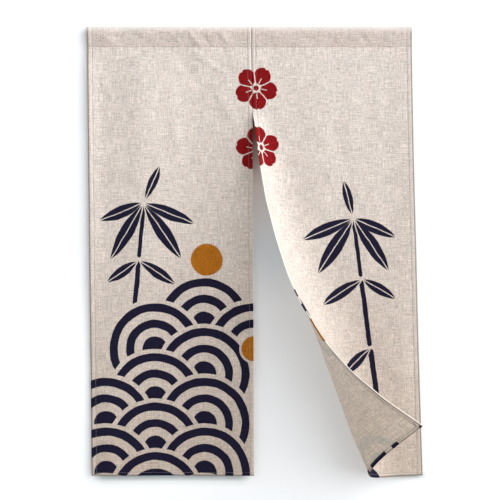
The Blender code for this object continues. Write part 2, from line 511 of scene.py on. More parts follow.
def right_row(down, distances):
    """Points of the right panel at one height, from its outer edge to its inner one."""
    steps = np.linspace(0.0, RIGHT_WIDTH, ROLL_STEPS + 1)
    middle = 0.5 * (steps[1:] + steps[:-1])
    step = RIGHT_WIDTH / ROLL_STEPS
    start = section_value(down, "turn_from")
    end = section_value(down, "turn_to")
    turn = np.radians(section_value(down, "turn")) * ease((middle - start) / (end - start))
    lift_from = start + LIFT_START * (end - start)
    lift = ease((middle - lift_from) / (LIFT_SHARE * (end - start)))
    climb = np.arcsin(section_value(down, "lift") * lift / (lift.sum() * step))
    moves = np.column_stack([-np.cos(turn) * np.cos(climb), -np.sin(turn) * np.cos(climb), np.sin(climb)])
    path = np.vstack([np.zeros(3), np.cumsum(moves * step, axis=0)])
    outer = right_outer_edge(down)
    path += (outer, -SOLID_CLOTH, -down)
    path[:, 1] -= wave(outer - steps, down)
    return np.column_stack([np.interp(distances, steps, path[:, axis]) for axis in range(3)])


POCKET_LEAN = np.hypot(POCKET_HALF_DEPTH - SOLID_CLOTH, POCKET_HEIGHT - POCKET_HALF_DEPTH)
POCKET_ROUND = pi * POCKET_HALF_DEPTH


def pocket_place(climbed):
    """(y, z) on the pocket's outside, at a length of cloth above the stitch line in front."""
    if climbed <= POCKET_LEAN:
        share = climbed / POCKET_LEAN
        y = -SOLID_CLOTH - share * (POCKET_HALF_DEPTH - SOLID_CLOTH)
        return y, -POCKET_HEIGHT + share * (POCKET_HEIGHT - POCKET_HALF_DEPTH)
    if climbed <= POCKET_LEAN + POCKET_ROUND:
        angle = pi - (climbed - POCKET_LEAN) / POCKET_HALF_DEPTH
        return POCKET_HALF_DEPTH * cos(angle), POCKET_HALF_DEPTH * (sin(angle) - 1.0)
    share = (climbed - POCKET_LEAN - POCKET_ROUND) / POCKET_LEAN
    if share <= 1.0:
        y = POCKET_HALF_DEPTH - share * (POCKET_HALF_DEPTH - POCKET_BACK)
        return y, -POCKET_HALF_DEPTH - share * (POCKET_HEIGHT - POCKET_HALF_DEPTH)
    return POCKET_BACK, -POCKET_HEIGHT - (share - 1.0) * POCKET_LEAN


def edge_stations(hem):
    """Distances from an edge that give it a rounded rim, a stitch groove and a hem step."""
    stitch = hem - STITCH_INSET
    groove = [stitch + step * GROOVE_STEP for step in GROOVE_STATIONS]
    return [*RIM_STATIONS, 0.5 * stitch, *groove, *(hem + past for past in HEM_END_STATIONS)]


def spread(start, end, step):
    """Even places from start to end, about a step apart."""
    return list(np.linspace(start, end, max(2, round((end - start) / step) + 1)))


def panel_distances(width, first_hem, last_hem):
    """Distances across a panel from its first edge to its last one."""
    first = edge_stations(first_hem)
    last = [width - value for value in reversed(edge_stations(last_hem))]
    return np.array(first + spread(first[-1], last[0], CLOTH_STEP)[1:-1] + last)


def panel_downs():
    """Lengths down the cloth from the back of the pocket, over the top, to the bottom hem."""
    over = 2.0 * POCKET_LEAN + POCKET_ROUND
    turned_in = [over + POCKET_TURN_IN - rim for rim in RIM_STATIONS[:2]]
    tail = turned_in + [over + 2.0 * GROOVE_STEP, over + GROOVE_STEP]
    back = spread(over, over - POCKET_LEAN, -POCKET_LEAN / POCKET_SIDE_STEPS)
    round_top = spread(POCKET_LEAN + POCKET_ROUND, POCKET_LEAN, -POCKET_ROUND / POCKET_ARC_STEPS)
    front = spread(POCKET_LEAN, 0.0, -POCKET_LEAN / POCKET_SIDE_STEPS)
    climbs = tail + back[:-1] + round_top[:-1] + front[:-1] + [GROOVE_STEP]
    pocket = [POCKET_HEIGHT - climbed for climbed in climbs]
    bottom = [HEIGHT - value for value in reversed(edge_stations(BOTTOM_HEM))]
    stitch = [POCKET_HEIGHT, POCKET_HEIGHT + GROOVE_STEP, POCKET_HEIGHT + 2.5 * GROOVE_STEP]
    hanging = spread(stitch[-1], SLIT_TOP, CLOTH_STEP)[1:]
    below = spread(SLIT_TOP, bottom[0], CLOTH_STEP)[1:-1]
    return np.array(pocket + stitch + hanging + below + bottom)


def fold_profile(across, knots):
    """Height across the cloth, eased from each crest to the next hollow."""
    places = np.array([knot[0] for knot in knots])
    heights = np.array([knot[1] for knot in knots])
    i = np.clip(np.searchsorted(places, across, side="right") - 1, 0, len(places) - 2)
    share = (across - places[i]) / (places[i + 1] - places[i])
    return heights[i] + (heights[i + 1] - heights[i]) * ease(share)


def folds(across, down):
    """Soft upright folds that grow below the pocket and change towards the hem."""
    grown = ease((down - FOLDS_BEGIN[0]) / (FOLDS_BEGIN[1] - FOLDS_BEGIN[0]))
    changed = ease((down - FOLDS_CHANGE[0]) / (FOLDS_CHANGE[1] - FOLDS_CHANGE[0]))
    upper = fold_profile(across, UPPER_FOLDS)
    lower = fold_profile(across, LOWER_FOLDS)
    return grown * (upper + (lower - upper) * changed)


def relief(across, down):
    """How far creases, folds and slow ripples raise the cloth's face, in metres."""
    raised = folds(across, down)
    for ripple in RIPPLES:
        waves = ripple.across * across + ripple.down * down
        raised += ripple.height * np.sin(2.0 * pi * waves + ripple.start)
    for crease in CREASES:
        rightward, downward = across - crease.across, down - crease.down
        cosine, sine = cos(radians(crease.angle)), sin(radians(crease.angle))
        along = rightward * cosine + downward * sine
        aside = downward * cosine - rightward * sine
        window = ease(1.0 - np.abs(along) / crease.half_length)
        raised += crease.height * window * np.exp(-((aside / crease.half_width) ** 2))
    for line in FOLD_LINES:
        wander = FOLD_LINE_WANDER * np.sin(WANDER_RATE * across + WANDER_START * line)
        strength = FADE_MIDDLE + FADE_SWING * np.sin(FADE_RATE * across + FADE_START * line)
        raised += FOLD_LINE_HEIGHT * strength * np.exp(-(((down - line - wander) / FOLD_LINE_WIDTH) ** 2))
    return raised


def stitch_groove(distance, along, stitch):
    """How deep a stitch line pulls the cloth in, with the puckers between its stitches."""
    groove = GROOVE_DEPTH * np.exp(-(((distance - stitch) / GROOVE_WIDTH) ** 2))
    sway = PUCKER_SWAY * np.sin(2.0 * pi * along / PUCKER_SWAY_PITCH)
    pucker = 0.5 + 0.5 * np.sin(2.0 * pi * along / PUCKER_PITCH + sway)
    return groove + PUCKER_DEPTH * pucker * np.exp(-(((distance - stitch) / PUCKER_WIDTH) ** 2))


class Cloth:
    """One hung panel: its front face as a grid of points, with normals and thickness."""

    def __init__(self, side, settings):
        self.side = side
        right = side == "right"
        self.row = right_row if right else left_row
        self.width = RIGHT_WIDTH if right else LEFT_WIDTH
        self.first_hem = OUTER_HEM if right else INNER_HEM
        self.last_hem = INNER_HEM if right else OUTER_HEM
        self.distances = panel_distances(self.width, self.first_hem, self.last_hem)
        self.downs = panel_downs()
        self.across = RIGHT_WIDTH - self.distances if right else -self.distances
        self.settings = settings
        face = np.array([self.place_row(down) for down in self.downs])
        self.normals = self.face_normals(face)
        self.shape_faces(face)

    def place_row(self, down):
        """Points of one row, on the hanging cloth or on the rod pocket."""
        if down >= POCKET_HEIGHT:
            return self.row(down, self.distances)
        y, z = pocket_place(POCKET_HEIGHT - down)
        points = self.row(-z, self.distances)
        points[:, 1] = y
        points[:, 2] = z
        return points

    @staticmethod
    def face_normals(face):
        """Unit vectors that point out of the cloth's front."""
        leftward = np.gradient(face, axis=1)
        downward = np.gradient(face, axis=0)
        normals = np.cross(leftward, downward)
        return normals / np.linalg.norm(normals, axis=2, keepdims=True)

    def shape_faces(self, face):
        """Give the cloth its thickness, hems, rounded rims, grooves and creases."""
        distance = self.distances[None, :]
        down = self.downs[:, None]
        to_last = self.width - distance
        to_bottom = HEIGHT - down
        to_tail = down - self.downs[0]
        side = np.minimum(distance - self.first_hem, to_last - self.last_hem)
        past_hems = np.minimum(side, to_bottom - BOTTOM_HEM) - HEM_END_STATIONS[0]
        hem_share = 1.0 - np.clip(past_hems / HEM_RISE, 0.0, 1.0)
        tail_share = 1.0 - np.clip((to_tail - POCKET_TURN_IN) / TURN_IN_FADE, 0.0, 1.0)
        plain = self.settings.cloth_thickness
        hem = self.settings.hem_thickness
        thickness = plain + (hem - plain) * np.maximum(hem_share, TURN_IN_SHARE * tail_share)

        rim = np.minimum(np.minimum(distance, to_last), np.minimum(to_bottom, to_tail))
        inner_rim = to_last if self.side == "right" else distance
        reach = np.where(inner_rim <= rim, SOFT_RIM, HARD_RIM_SHARE * hem)
        near = 1.0 - np.clip(rim / reach, 0.0, 1.0)
        shut = 0.5 * thickness * (1.0 - np.sqrt(1.0 - RIM_ROUNDNESS * near * near))

        across = self.across[None, :]
        grooves = stitch_groove(distance, down, self.first_hem - STITCH_INSET)
        grooves = grooves + stitch_groove(to_last, down, self.last_hem - STITCH_INSET)
        grooves = grooves + stitch_groove(to_bottom, across, BOTTOM_HEM - STITCH_INSET)
        grooves = grooves + POCKET_GROOVE_SHARE * stitch_groove(down - POCKET_HEIGHT, across, 0.0)

        raised = self.settings.crease_strength * relief(across, down)
        raised = raised * np.where(down < 0.0, OVER_ROD_CREASES, 1.0)
        puff = np.sin(pi * np.clip(distance / self.first_hem, 0.0, 1.0))
        puff = puff + np.sin(pi * np.clip(to_last / self.last_hem, 0.0, 1.0))
        puff = HEM_PUFF * (puff + np.sin(pi * np.clip(to_bottom / BOTTOM_HEM, 0.0, 1.0)))
        to_seam = distance if self.side == "left" else to_last
        sewn = 1.0 - ease((down - SLIT_TOP) / SEAM_FADE + 0.5)
        raised = raised - SEAM_DIP * sewn * np.exp(-((to_seam / SEAM_DIP_WIDTH) ** 2))
        bulk = np.maximum(thickness - 2.0 * grooves, THINNEST_SHARE * thickness)
        sink = 0.5 * (thickness - bulk)
        self.front = face + self.normals * (raised + puff - sink - shut)[:, :, None]
        under = raised - BACK_PUFF_SHARE * puff - thickness
        self.back = face + self.normals * (under + sink + shut)[:, :, None]
        self.hem_share = hem_share
        self.paint_light_and_shade(down, to_seam)

    def paint_light_and_shade(self, down, to_seam):
        """Work out where highlights are painted on the inner edges and over the rod, and where painted
        shadow darkens the reverse under the inner hem's folded edge.
        """
        swept = 1.0 if self.side == "right" else 0.0
        open_share = swept * ease((down - SLIT_TOP) / OPEN_EDGE_FADE)
        edge_highlight = SEWN_EDGE_HIGHLIGHT + (OPEN_EDGE_HIGHLIGHT - SEWN_EDGE_HIGHLIGHT) * open_share
        edge_highlight = edge_highlight * ease((EDGE_HIGHLIGHT_WIDTH - to_seam) / EDGE_HIGHLIGHT_FADE)
        over_rod = OVER_ROD_HIGHLIGHT * ease((OVER_ROD_FRONT - down) / OVER_ROD_FRONT_FADE)
        over_rod = over_rod * ease((down + OVER_ROD_BACK) / OVER_ROD_BACK_FADE)
        self.highlit = np.maximum(edge_highlight, over_rod)
        near_edge = ease((REVERSE_HIGHLIGHT_WIDTH - to_seam) / REVERSE_HIGHLIGHT_FADE)
        self.highlit_reverse = self.highlit * near_edge + over_rod * (to_seam > REVERSE_HIGHLIGHT_WIDTH)
        fold_shadow = swept * FOLD_SHARE * ease((down - FOLD_FROM) / FOLD_FADE)
        self.fold_shadow = fold_shadow + np.zeros_like(self.highlit)

    def find(self, distance, down):
        """Grid cell and shares of a place on the cloth."""
        i = np.clip(np.searchsorted(self.distances, distance, side="right") - 1, 0, len(self.distances) - 2)
        j = np.clip(np.searchsorted(self.downs, down, side="right") - 1, 0, len(self.downs) - 2)
        across_share = (distance - self.distances[i]) / (self.distances[i + 1] - self.distances[i])
        down_share = (down - self.downs[j]) / (self.downs[j + 1] - self.downs[j])
        return i, j, across_share[:, None], down_share[:, None]

    def sample(self, grid, distance, down):
        """Read a grid of points or normals between its rows and columns."""
        i, j, right, low = self.find(distance, down)
        upper = grid[j, i] * (1 - right) + grid[j, i + 1] * right
        lower = grid[j + 1, i] * (1 - right) + grid[j + 1, i + 1] * right
        return upper * (1 - low) + lower * low


def cloth_mesh(cloth, name):
    """Mesh both faces of a panel and close its rim. Hems turned to the back show the printed face."""
    rows, columns = cloth.front.shape[:2]
    count = rows * columns
    points = np.concatenate([cloth.front.reshape(-1, 3), cloth.back.reshape(-1, 3)])
    flat = np.stack(np.broadcast_arrays(cloth.across[None, :], cloth.downs[:, None]), axis=2).reshape(-1, 2)
    index = np.arange(count).reshape(rows, columns)
    upper_left, upper_right = index[:-1, :-1].ravel(), index[:-1, 1:].ravel()
    lower_left, lower_right = index[1:, :-1].ravel(), index[1:, 1:].ravel()
    front = np.column_stack([upper_left, upper_right, lower_right, lower_left])
    back = front[:, ::-1] + count
    edge = np.concatenate([index[0, :-1], index[:-1, -1], index[-1, :0:-1], index[:0:-1, 0]])
    following = np.roll(edge, -1)
    rim = np.column_stack([following, edge, edge + count, following + count])
    faces = np.concatenate([front, back, rim])

    mesh = bpy.data.meshes.new(name)
    mesh.from_pydata(points.tolist(), [], faces.tolist())
    turned = cloth.hem_share.ravel()[front].min(axis=1) > 0.5
    look = np.zeros(len(faces), dtype=np.int32)
    look[len(front):len(front) + len(back)] = np.where(turned, 0, 1)
    mesh.polygons.foreach_set("material_index", look)
    mesh.polygons.foreach_set("use_smooth", np.ones(len(faces), dtype=bool))

    corners = flat[faces % count]
    behind = corners[len(front):len(front) + len(back)]
    behind[turned] = mirror_in_edges(cloth, behind[turned])
    # Per-point shares of the painted highlights and of the painted shadow under the inner fold
    shares = {
        "highlit": (cloth.highlit, cloth.highlit_reverse),
        "fold_shadow": (np.zeros_like(cloth.fold_shadow), cloth.fold_shadow),
    }
    for label, (on_face, on_reverse) in shares.items():
        layer = mesh.attributes.new(label, "FLOAT", "POINT")
        layer.data.foreach_set("value", np.concatenate([on_face.ravel(), on_reverse.ravel()]))
    layer = mesh.uv_layers.new(name="flat_cloth")
    layer.data.foreach_set("uv", corners.reshape(-1))
    mesh.update()
    return mesh


def mirror_in_edges(cloth, corners):
    """Flat coordinates of the strips that hems turn to the back, reckoned past the edge."""
    across, down = corners[..., 0], corners[..., 1]
    middle = down.mean(axis=1, keepdims=True)
    low = middle > HEIGHT - BOTTOM_HEM
    edges = (0.0, cloth.across.min() if cloth.side == "left" else cloth.across.max())
    centre = across.mean(axis=1, keepdims=True)
    nearest = np.where(np.abs(centre - edges[0]) < np.abs(centre - edges[1]), edges[0], edges[1])
    beside = np.abs(centre - nearest) < OUTER_HEM
    corners[..., 0] = np.where(beside & ~low, 2.0 * nearest - across, across)
    corners[..., 1] = np.where(low, 2.0 * HEIGHT - down, down)
    return corners


# Materials


class Web:
    """A node tree with short ways to add maths."""

    def __init__(self, tree):
        self.tree = tree

    def node(self, kind, **settings):
        """Add a node and set its properties."""
        made = self.tree.nodes.new(kind)
        for name, value in settings.items():
            setattr(made, name, value)
        return made

    def feed(self, socket, value):
        """Link a socket to another one, or set its value."""
        if isinstance(value, bpy.types.NodeSocket):
            self.tree.links.new(value, socket)
        else:
            socket.default_value = value

    def math(self, operation, *values, clamp=False):
        """Work out one number from up to three others."""
        made = self.node("ShaderNodeMath", operation=operation, use_clamp=clamp)
        for socket, value in zip(made.inputs, values):
            self.feed(socket, value)
        return made.outputs[0]

    def length(self, x, y):
        """Length of a flat vector."""
        together = self.node("ShaderNodeCombineXYZ")
        self.feed(together.inputs[0], x)
        self.feed(together.inputs[1], y)
        made = self.node("ShaderNodeVectorMath", operation="LENGTH")
        self.feed(made.inputs[0], together.outputs[0])
        return made.outputs["Value"]

    def split(self, vector):
        """The first two parts of a vector."""
        made = self.node("ShaderNodeSeparateXYZ")
        self.feed(made.inputs[0], vector)
        return made.outputs[0], made.outputs[1]

    def local(self, vector, across, down, angle=0.0, size=1.0):
        """The place seen from a motif that lies at across, down and is turned by angle degrees."""
        made = self.node("ShaderNodeMapping", vector_type="TEXTURE")
        self.feed(made.inputs["Vector"], vector)
        self.feed(made.inputs["Location"], (across, down, 0.0))
        self.feed(made.inputs["Rotation"], (0.0, 0.0, radians(angle)))
        self.feed(made.inputs["Scale"], (size, size, size))
        return self.split(made.outputs[0])

    def choose(self, condition, if_not, if_so):
        """One of two numbers."""
        made = self.node("ShaderNodeMix", data_type="FLOAT")
        self.feed(made.inputs[0], condition)
        self.feed(made.inputs[2], if_not)
        self.feed(made.inputs[3], if_so)
        return made.outputs[0]

    def colour(self, share, first, second, blend="MIX"):
        """Two colours mixed by a share, or one laid over the other."""
        made = self.node("ShaderNodeMix", data_type="RGBA", blend_type=blend)
        for socket, value in ((made.inputs[0], share), (made.inputs[6], first), (made.inputs[7], second)):
            self.feed(socket, value)
        return made.outputs[2]

    def noise(self, vector, stretch, detail=2.0, roughness=0.5):
        """Noise in 3D, stretched by its own scale along each flat axis."""
        scaled = self.node("ShaderNodeMapping")
        self.feed(scaled.inputs["Vector"], vector)
        self.feed(scaled.inputs["Scale"], (*stretch, 1.0))
        made = self.node("ShaderNodeTexNoise")
        self.feed(made.inputs["Vector"], scaled.outputs[0])
        self.feed(made.inputs["Scale"], 1.0)
        self.feed(made.inputs["Detail"], detail)
        self.feed(made.inputs["Roughness"], roughness)
        return made.outputs["Fac"]

    def nearest(self, *distances):
        """The least of several distances, which joins their motifs."""
        closest = distances[0]
        for distance in distances[1:]:
            closest = self.math("MINIMUM", closest, distance)
        return closest

    def inked(self, distance, softness):
        """1 inside a motif and 0 outside it, from the signed distance to its outline."""
        return self.math("MULTIPLY_ADD", distance, -1.0 / softness, 0.5, clamp=True)


def new_group(name, outputs):
    """A node group that works from the flat cloth's coordinates and gives out several numbers."""
    group = bpy.data.node_groups.new(name, "ShaderNodeTree")
    group.interface.new_socket("flat cloth", in_out="INPUT", socket_type="NodeSocketVector")
    for label in outputs:
        group.interface.new_socket(label, in_out="OUTPUT", socket_type="NodeSocketFloat")
    web = Web(group)
    return group, web, web.node("NodeGroupInput").outputs[0]


def give_out(web, values):
    """Feed named values to the outputs of a node group."""
    outputs = web.node("NodeGroupOutput")
    for label, value in values.items():
        web.feed(outputs.inputs[label], value)


def use_group(web, group, vector):
    """Place a node group in a material."""
    made = web.node("ShaderNodeGroup", node_tree=group)
    web.feed(made.inputs[0], vector)
    return made


def leaf_distance(web, place, leaf):
    """A bamboo leaf: the lens between two arcs, with a bare rib along its middle."""
    along, aside = web.local(place, leaf.across, leaf.down, leaf.angle)
    half = 0.5 * leaf.length
    radius = (half * half + leaf.half_width ** 2) / (2.0 * leaf.half_width)
    off_middle = web.math("ABSOLUTE", aside)
    centre_line = web.math("ADD", off_middle, radius - leaf.half_width)
    outline = web.math("SUBTRACT", web.length(web.math("SUBTRACT", along, half), centre_line), radius)
    return web.math("MAXIMUM", outline, web.math("SUBTRACT", LEAF_RIB, off_middle))


def stalk_distance(web, place, stalk):
    """One joint of a bamboo stalk: a bar with round ends."""
    along, aside = web.local(place, stalk.across, stalk.down, stalk.angle)
    reach = stalk.half_length - stalk.half_width
    past = web.math("MAXIMUM", web.math("SUBTRACT", web.math("ABSOLUTE", along), reach), 0.0)
    return web.math("SUBTRACT", web.length(past, aside), stalk.half_width)


def scale_radius(web, across, down, row):
    """Distance to the nearest wave scale's middle in one row, or far off where it has none."""
    middle_down = web.math("MULTIPLY_ADD", row, 0.5 * SCALE_RADIUS, SCALE_FIRST_ROW)
    shift = web.math("MULTIPLY", web.math("FLOORED_MODULO", row, 2.0), SCALE_RADIUS)
    x = web.math("WRAP", web.math("SUBTRACT", across, shift), SCALE_RADIUS, -SCALE_RADIUS)
    y = web.math("SUBTRACT", down, middle_down)
    radius = web.length(x, y)
    middle_across = web.math("SUBTRACT", across, x)
    off_shore = web.math("SUBTRACT", middle_across, SHORE_MIDDLE)
    shore = web.math("MULTIPLY_ADD", web.math("MULTIPLY", off_shore, off_shore), SHORE_STEEPNESS, SHORE_TOP)
    past_seam = web.math("MAXIMUM", middle_across, 0.0)
    shore = web.math("MULTIPLY_ADD", web.math("MULTIPLY", past_seam, past_seam), RIGHT_STEEPNESS, shore)
    bay = web.math("MULTIPLY", web.math("COMPARE", middle_across, 0.0, BAY_HALF_WIDTH),
                   web.math("GREATER_THAN", middle_down, BAY_TOP))
    there = web.math("MULTIPLY", web.math("GREATER_THAN", middle_down, shore),
                     web.math("LESS_THAN", radius, SCALE_RADIUS))
    there = web.math("MULTIPLY", there, web.math("SUBTRACT", 1.0, bay))
    return web.choose(there, 1.0, radius)


def ringed(web, radius):
    """Even rings round a solid core."""
    pitch = SCALE_RADIUS / SCALE_RINGS
    past_ring = web.math("SUBTRACT", web.math("FLOORED_MODULO", radius, pitch), 0.5 * pitch)
    ring = web.math("ABSOLUTE", past_ring)
    return web.nearest(web.math("SUBTRACT", ring, RING_HALF), web.math("SUBTRACT", radius, SCALE_CORE))


def wave_scales(web, place):
    """Overlapping wave scales, each row in front of the one above it, and the radius in each."""
    across, down = web.split(place)
    beyond = web.math("DIVIDE", web.math("SUBTRACT", down, SCALE_FIRST_ROW), 0.5 * SCALE_RADIUS)
    row = web.math("CEIL", beyond)
    front = scale_radius(web, across, down, web.math("ADD", row, 1.0))
    middle = scale_radius(web, across, down, row)
    rear = scale_radius(web, across, down, web.math("SUBTRACT", row, 1.0))
    behind = web.choose(web.math("LESS_THAN", middle, SCALE_RADIUS), rear, middle)
    radius = web.choose(web.math("LESS_THAN", front, SCALE_RADIUS), behind, front)
    return web.math("MAXIMUM", ringed(web, radius), web.math("SUBTRACT", radius, SCALE_RADIUS)), radius


def blossom_distance(web, place, blossom):
    """A five-petalled blossom: notched petals set apart, with stamens and an eye."""
    x, y = web.local(place, blossom.across, blossom.down, blossom.angle, blossom.size)
    radius = web.length(x, y)
    fifth = 2.0 * pi / 5.0
    turned = web.math("WRAP", web.math("ARCTAN2", y, x), 0.5 * fifth, -0.5 * fifth)
    out = web.math("MULTIPLY", radius, web.math("COSINE", turned))
    aside = web.math("MULTIPLY", radius, web.math("SINE", turned))
    off_middle = web.math("ABSOLUTE", aside)
    petal = web.math("SUBTRACT", web.length(web.math("SUBTRACT", out, PETAL_REACH), aside), PETAL_RADIUS)
    notch = web.math("SUBTRACT", NOTCH_RADIUS, web.length(web.math("SUBTRACT", out, NOTCH_REACH), aside))
    border = web.math("SUBTRACT", web.math("MULTIPLY", off_middle, cos(0.5 * fifth)),
                      web.math("MULTIPLY", out, sin(0.5 * fifth)))
    gap = web.math("ADD", border, PETAL_GAP)
    past_stamen = web.math("SUBTRACT", web.math("ABSOLUTE", web.math("SUBTRACT", out, STAMEN_MIDDLE)),
                           STAMEN_HALF_LENGTH)
    line = web.math("MAXIMUM", web.math("SUBTRACT", off_middle, STAMEN_HALF_WIDTH), past_stamen)
    moat = web.math("SUBTRACT", EYE_RADIUS + EYE_RING, radius)
    flower = web.math("MAXIMUM", web.math("MAXIMUM", petal, notch), web.math("MAXIMUM", gap, moat))
    flower = web.math("MAXIMUM", flower, web.math("MULTIPLY", line, -1.0))
    return web.nearest(flower, web.math("SUBTRACT", radius, EYE_RADIUS))


def disc_distance(web, place, disc):
    """A plain disc."""
    x, y = web.local(place, disc.across, disc.down)
    return web.math("SUBTRACT", web.length(x, y), disc.radius)


def corner_wave_distance(web, place, disc):
    """Part of a wave scale that the bottom hem cuts off."""
    x, y = web.local(place, disc.across, disc.down)
    radius = web.length(x, y)
    rings = ringed(web, radius)
    return web.math("MAXIMUM", rings, web.math("SUBTRACT", radius, disc.radius))


def print_group():
    """Where the navy, red and ochre inks lie on the flat cloth."""
    name = "noren_print"
    if name in bpy.data.node_groups:
        return bpy.data.node_groups[name]
    group, web, flat = new_group(name, ("navy", "red", "ochre"))

    wobble = web.node("ShaderNodeTexNoise")
    web.feed(wobble.inputs["Vector"], flat)
    web.feed(wobble.inputs["Scale"], HAND_DRAWN_SCALE)
    web.feed(wobble.inputs["Detail"], 3.0)
    centred = web.node("ShaderNodeVectorMath", operation="SUBTRACT")
    web.feed(centred.inputs[0], wobble.outputs["Color"])
    web.feed(centred.inputs[1], (0.5, 0.5, 0.5))
    drawn = web.node("ShaderNodeVectorMath", operation="MULTIPLY_ADD")
    web.feed(drawn.inputs[0], centred.outputs[0])
    web.feed(drawn.inputs[1], (HAND_DRAWN_WOBBLE, HAND_DRAWN_WOBBLE, 0.0))
    web.feed(drawn.inputs[2], flat)
    place = drawn.outputs[0]

    scales, scale_middle = wave_scales(web, place)
    leaves = web.nearest(*[leaf_distance(web, place, leaf) for leaf in LEAVES])
    stalks = web.nearest(*[stalk_distance(web, place, stalk) for stalk in STALKS])
    stalks = web.math("MAXIMUM", stalks, web.math("SUBTRACT", 0.5 * MOTIF_CLEARANCE, leaves))
    bamboo = web.nearest(leaves, stalks)
    above_water = web.math("SUBTRACT", SCALE_RADIUS + MOTIF_CLEARANCE, scale_middle)
    bamboo = web.math("MAXIMUM", bamboo, above_water)
    light = disc_distance(web, place, SCALE_LIGHT)
    moat = web.math("SUBTRACT", MOTIF_CLEARANCE, light)
    on_scales = web.math("MAXIMUM", scales, moat)
    navy = web.nearest(on_scales, bamboo, corner_wave_distance(web, place, CORNER_WAVE),
                       disc_distance(web, place, CORNER_STONE))
    beside_bamboo = web.math("SUBTRACT", MOTIF_CLEARANCE, bamboo)
    moon = web.math("MAXIMUM", disc_distance(web, place, MOON), beside_bamboo)
    ochre = web.nearest(light, moon)
    red = web.nearest(*[blossom_distance(web, place, blossom) for blossom in BLOSSOMS])
    inks = {"navy": navy, "red": red, "ochre": ochre}
    give_out(web, {label: web.inked(distance, INK_EDGE) for label, distance in inks.items()})
    return group


def linen_group():
    """Plain weave with slubs: how light, high, flecked and warm each yarn is."""
    name = "linen_weave"
    if name in bpy.data.node_groups:
        return bpy.data.node_groups[name]
    group, web, flat = new_group(name, ("tone", "height", "fleck", "warmth"))
    across, down = web.split(flat)
    pitch = bpy.context.scene.noren.yarn_pitch

    sway = web.noise(flat, YARN_SWAY_SCALE, detail=1.0)
    bent_across = web.math("MULTIPLY_ADD", sway, YARN_SWAY, across)
    bent_down = web.math("MULTIPLY_ADD", sway, YARN_SWAY, down)
    warp = web.math("SINE", web.math("MULTIPLY", bent_across, pi / pitch))
    weft = web.math("SINE", web.math("MULTIPLY", bent_down, pi / pitch))
    crossing = web.math("MULTIPLY", warp, weft)
    bumps = web.math("POWER", web.math("ABSOLUTE", crossing), YARN_ROUNDNESS)

    lines, slubs = [
        web.math("ADD", web.noise(flat, weft_scale, detail=1.0), web.noise(flat, warp_scale, detail=1.0))
        for weft_scale, warp_scale in ((WEFT_LINES, WARP_LINES), (WEFT_SLUBS, WARP_SLUBS))
    ]
    heather = web.noise(flat, HEATHER, detail=1.0, roughness=0.7)
    mottle = web.noise(flat, MOTTLE, detail=3.0)
    shares = ((lines, 1.0, LINE_TONE), (slubs, 1.0, SLUB_TONE), (heather, 0.5, HEATHER_TONE),
              (mottle, 0.5, MOTTLE_TONE), (bumps, CROSSING_MIDDLE, CROSSING_TONE))
    tone = 1.0
    for part, middle, weight in shares:
        tone = web.math("MULTIPLY_ADD", web.math("SUBTRACT", part, middle), weight, tone)
    thick = web.math("MULTIPLY", web.math("ADD", lines, slubs), 0.5)
    height = web.math("MULTIPLY_ADD", web.math("SUBTRACT", thick, 1.0), SLUB_HEIGHT, bumps)
    fleck = web.noise(flat, FLECKS, detail=1.0)
    fleck = web.math("MULTIPLY_ADD", fleck, FLECK_SHARPNESS, FLECK_LEVEL, clamp=True)
    warmth = web.noise(flat, WARMTH, detail=4.0, roughness=0.65)
    give_out(web, {"tone": tone, "height": height, "fleck": fleck, "warmth": warmth})
    return group


def line_share(web, distance, line):
    """1 on a line along the cloth and 0 beside it, from its half width and softness."""
    half_width, softness = line
    return web.inked(web.math("SUBTRACT", distance, half_width), softness)


def sewing_group():
    """Shares of the stitch lines, hems, border, inner fold and pocket, and how low the cloth hangs."""
    name = "sewn_lines"
    if name in bpy.data.node_groups:
        return bpy.data.node_groups[name]
    group, web, flat = new_group(name, ("sewn", "hem", "low", "pocket", "border", "fold"))
    across, down = web.split(flat)
    off_seam = web.math("ABSOLUTE", across)
    outer = web.choose(web.math("GREATER_THAN", across, 0.0), LEFT_WIDTH, RIGHT_WIDTH)
    off_outer = web.math("ABSOLUTE", web.math("SUBTRACT", outer, off_seam))
    off_bottom = web.math("ABSOLUTE", web.math("SUBTRACT", HEIGHT, down))

    hems = ((off_seam, INNER_HEM), (off_outer, OUTER_HEM), (off_bottom, BOTTOM_HEM))
    lines = [web.math("ABSOLUTE", web.math("SUBTRACT", off, hem - STITCH_INSET)) for off, hem in hems]
    off_stitches = web.nearest(*lines, web.math("ABSOLUTE", web.math("SUBTRACT", down, POCKET_HEIGHT)))
    # Painted shade in the stitch grooves, broken up unevenly along each line
    uneven = web.noise(flat, STITCH_UNEVEN_SCALE, detail=1.0)
    uneven = web.math("MULTIPLY_ADD", uneven, STITCH_UNEVENNESS, STITCH_UNEVEN_LEVEL, clamp=True)
    sewn = web.math("MULTIPLY", line_share(web, off_stitches, STITCH_LINE), uneven)

    # Painted shade on the rolled outer and bottom edges and in the seam's groove above the slit
    border = line_share(web, web.nearest(off_outer, off_bottom), BORDER)
    above_slit = web.math("LESS_THAN", down, SLIT_TOP)
    seam_line = web.math("MULTIPLY", line_share(web, off_seam, SEAM_LINE), above_slit)
    border = web.math("MAXIMUM", border, seam_line)
    # Painted shadow line under the inner hem's folded edge
    off_fold = web.math("ABSOLUTE", web.math("SUBTRACT", off_seam, FOLD_MIDDLE))
    inside_hems = web.nearest(*[web.math("SUBTRACT", off, hem) for off, hem in hems])
    give_out(web, {
        "sewn": sewn,
        "hem": web.inked(inside_hems, CLOTH_LAYER_EDGE),
        "low": web.math("POWER", web.math("DIVIDE", down, HEIGHT, clamp=True), 2.0),
        "pocket": web.inked(web.math("SUBTRACT", down, POCKET_HEIGHT), CLOTH_LAYER_EDGE),
        "border": border,
        "fold": line_share(web, off_fold, FOLD_LINE),
    })
    return group


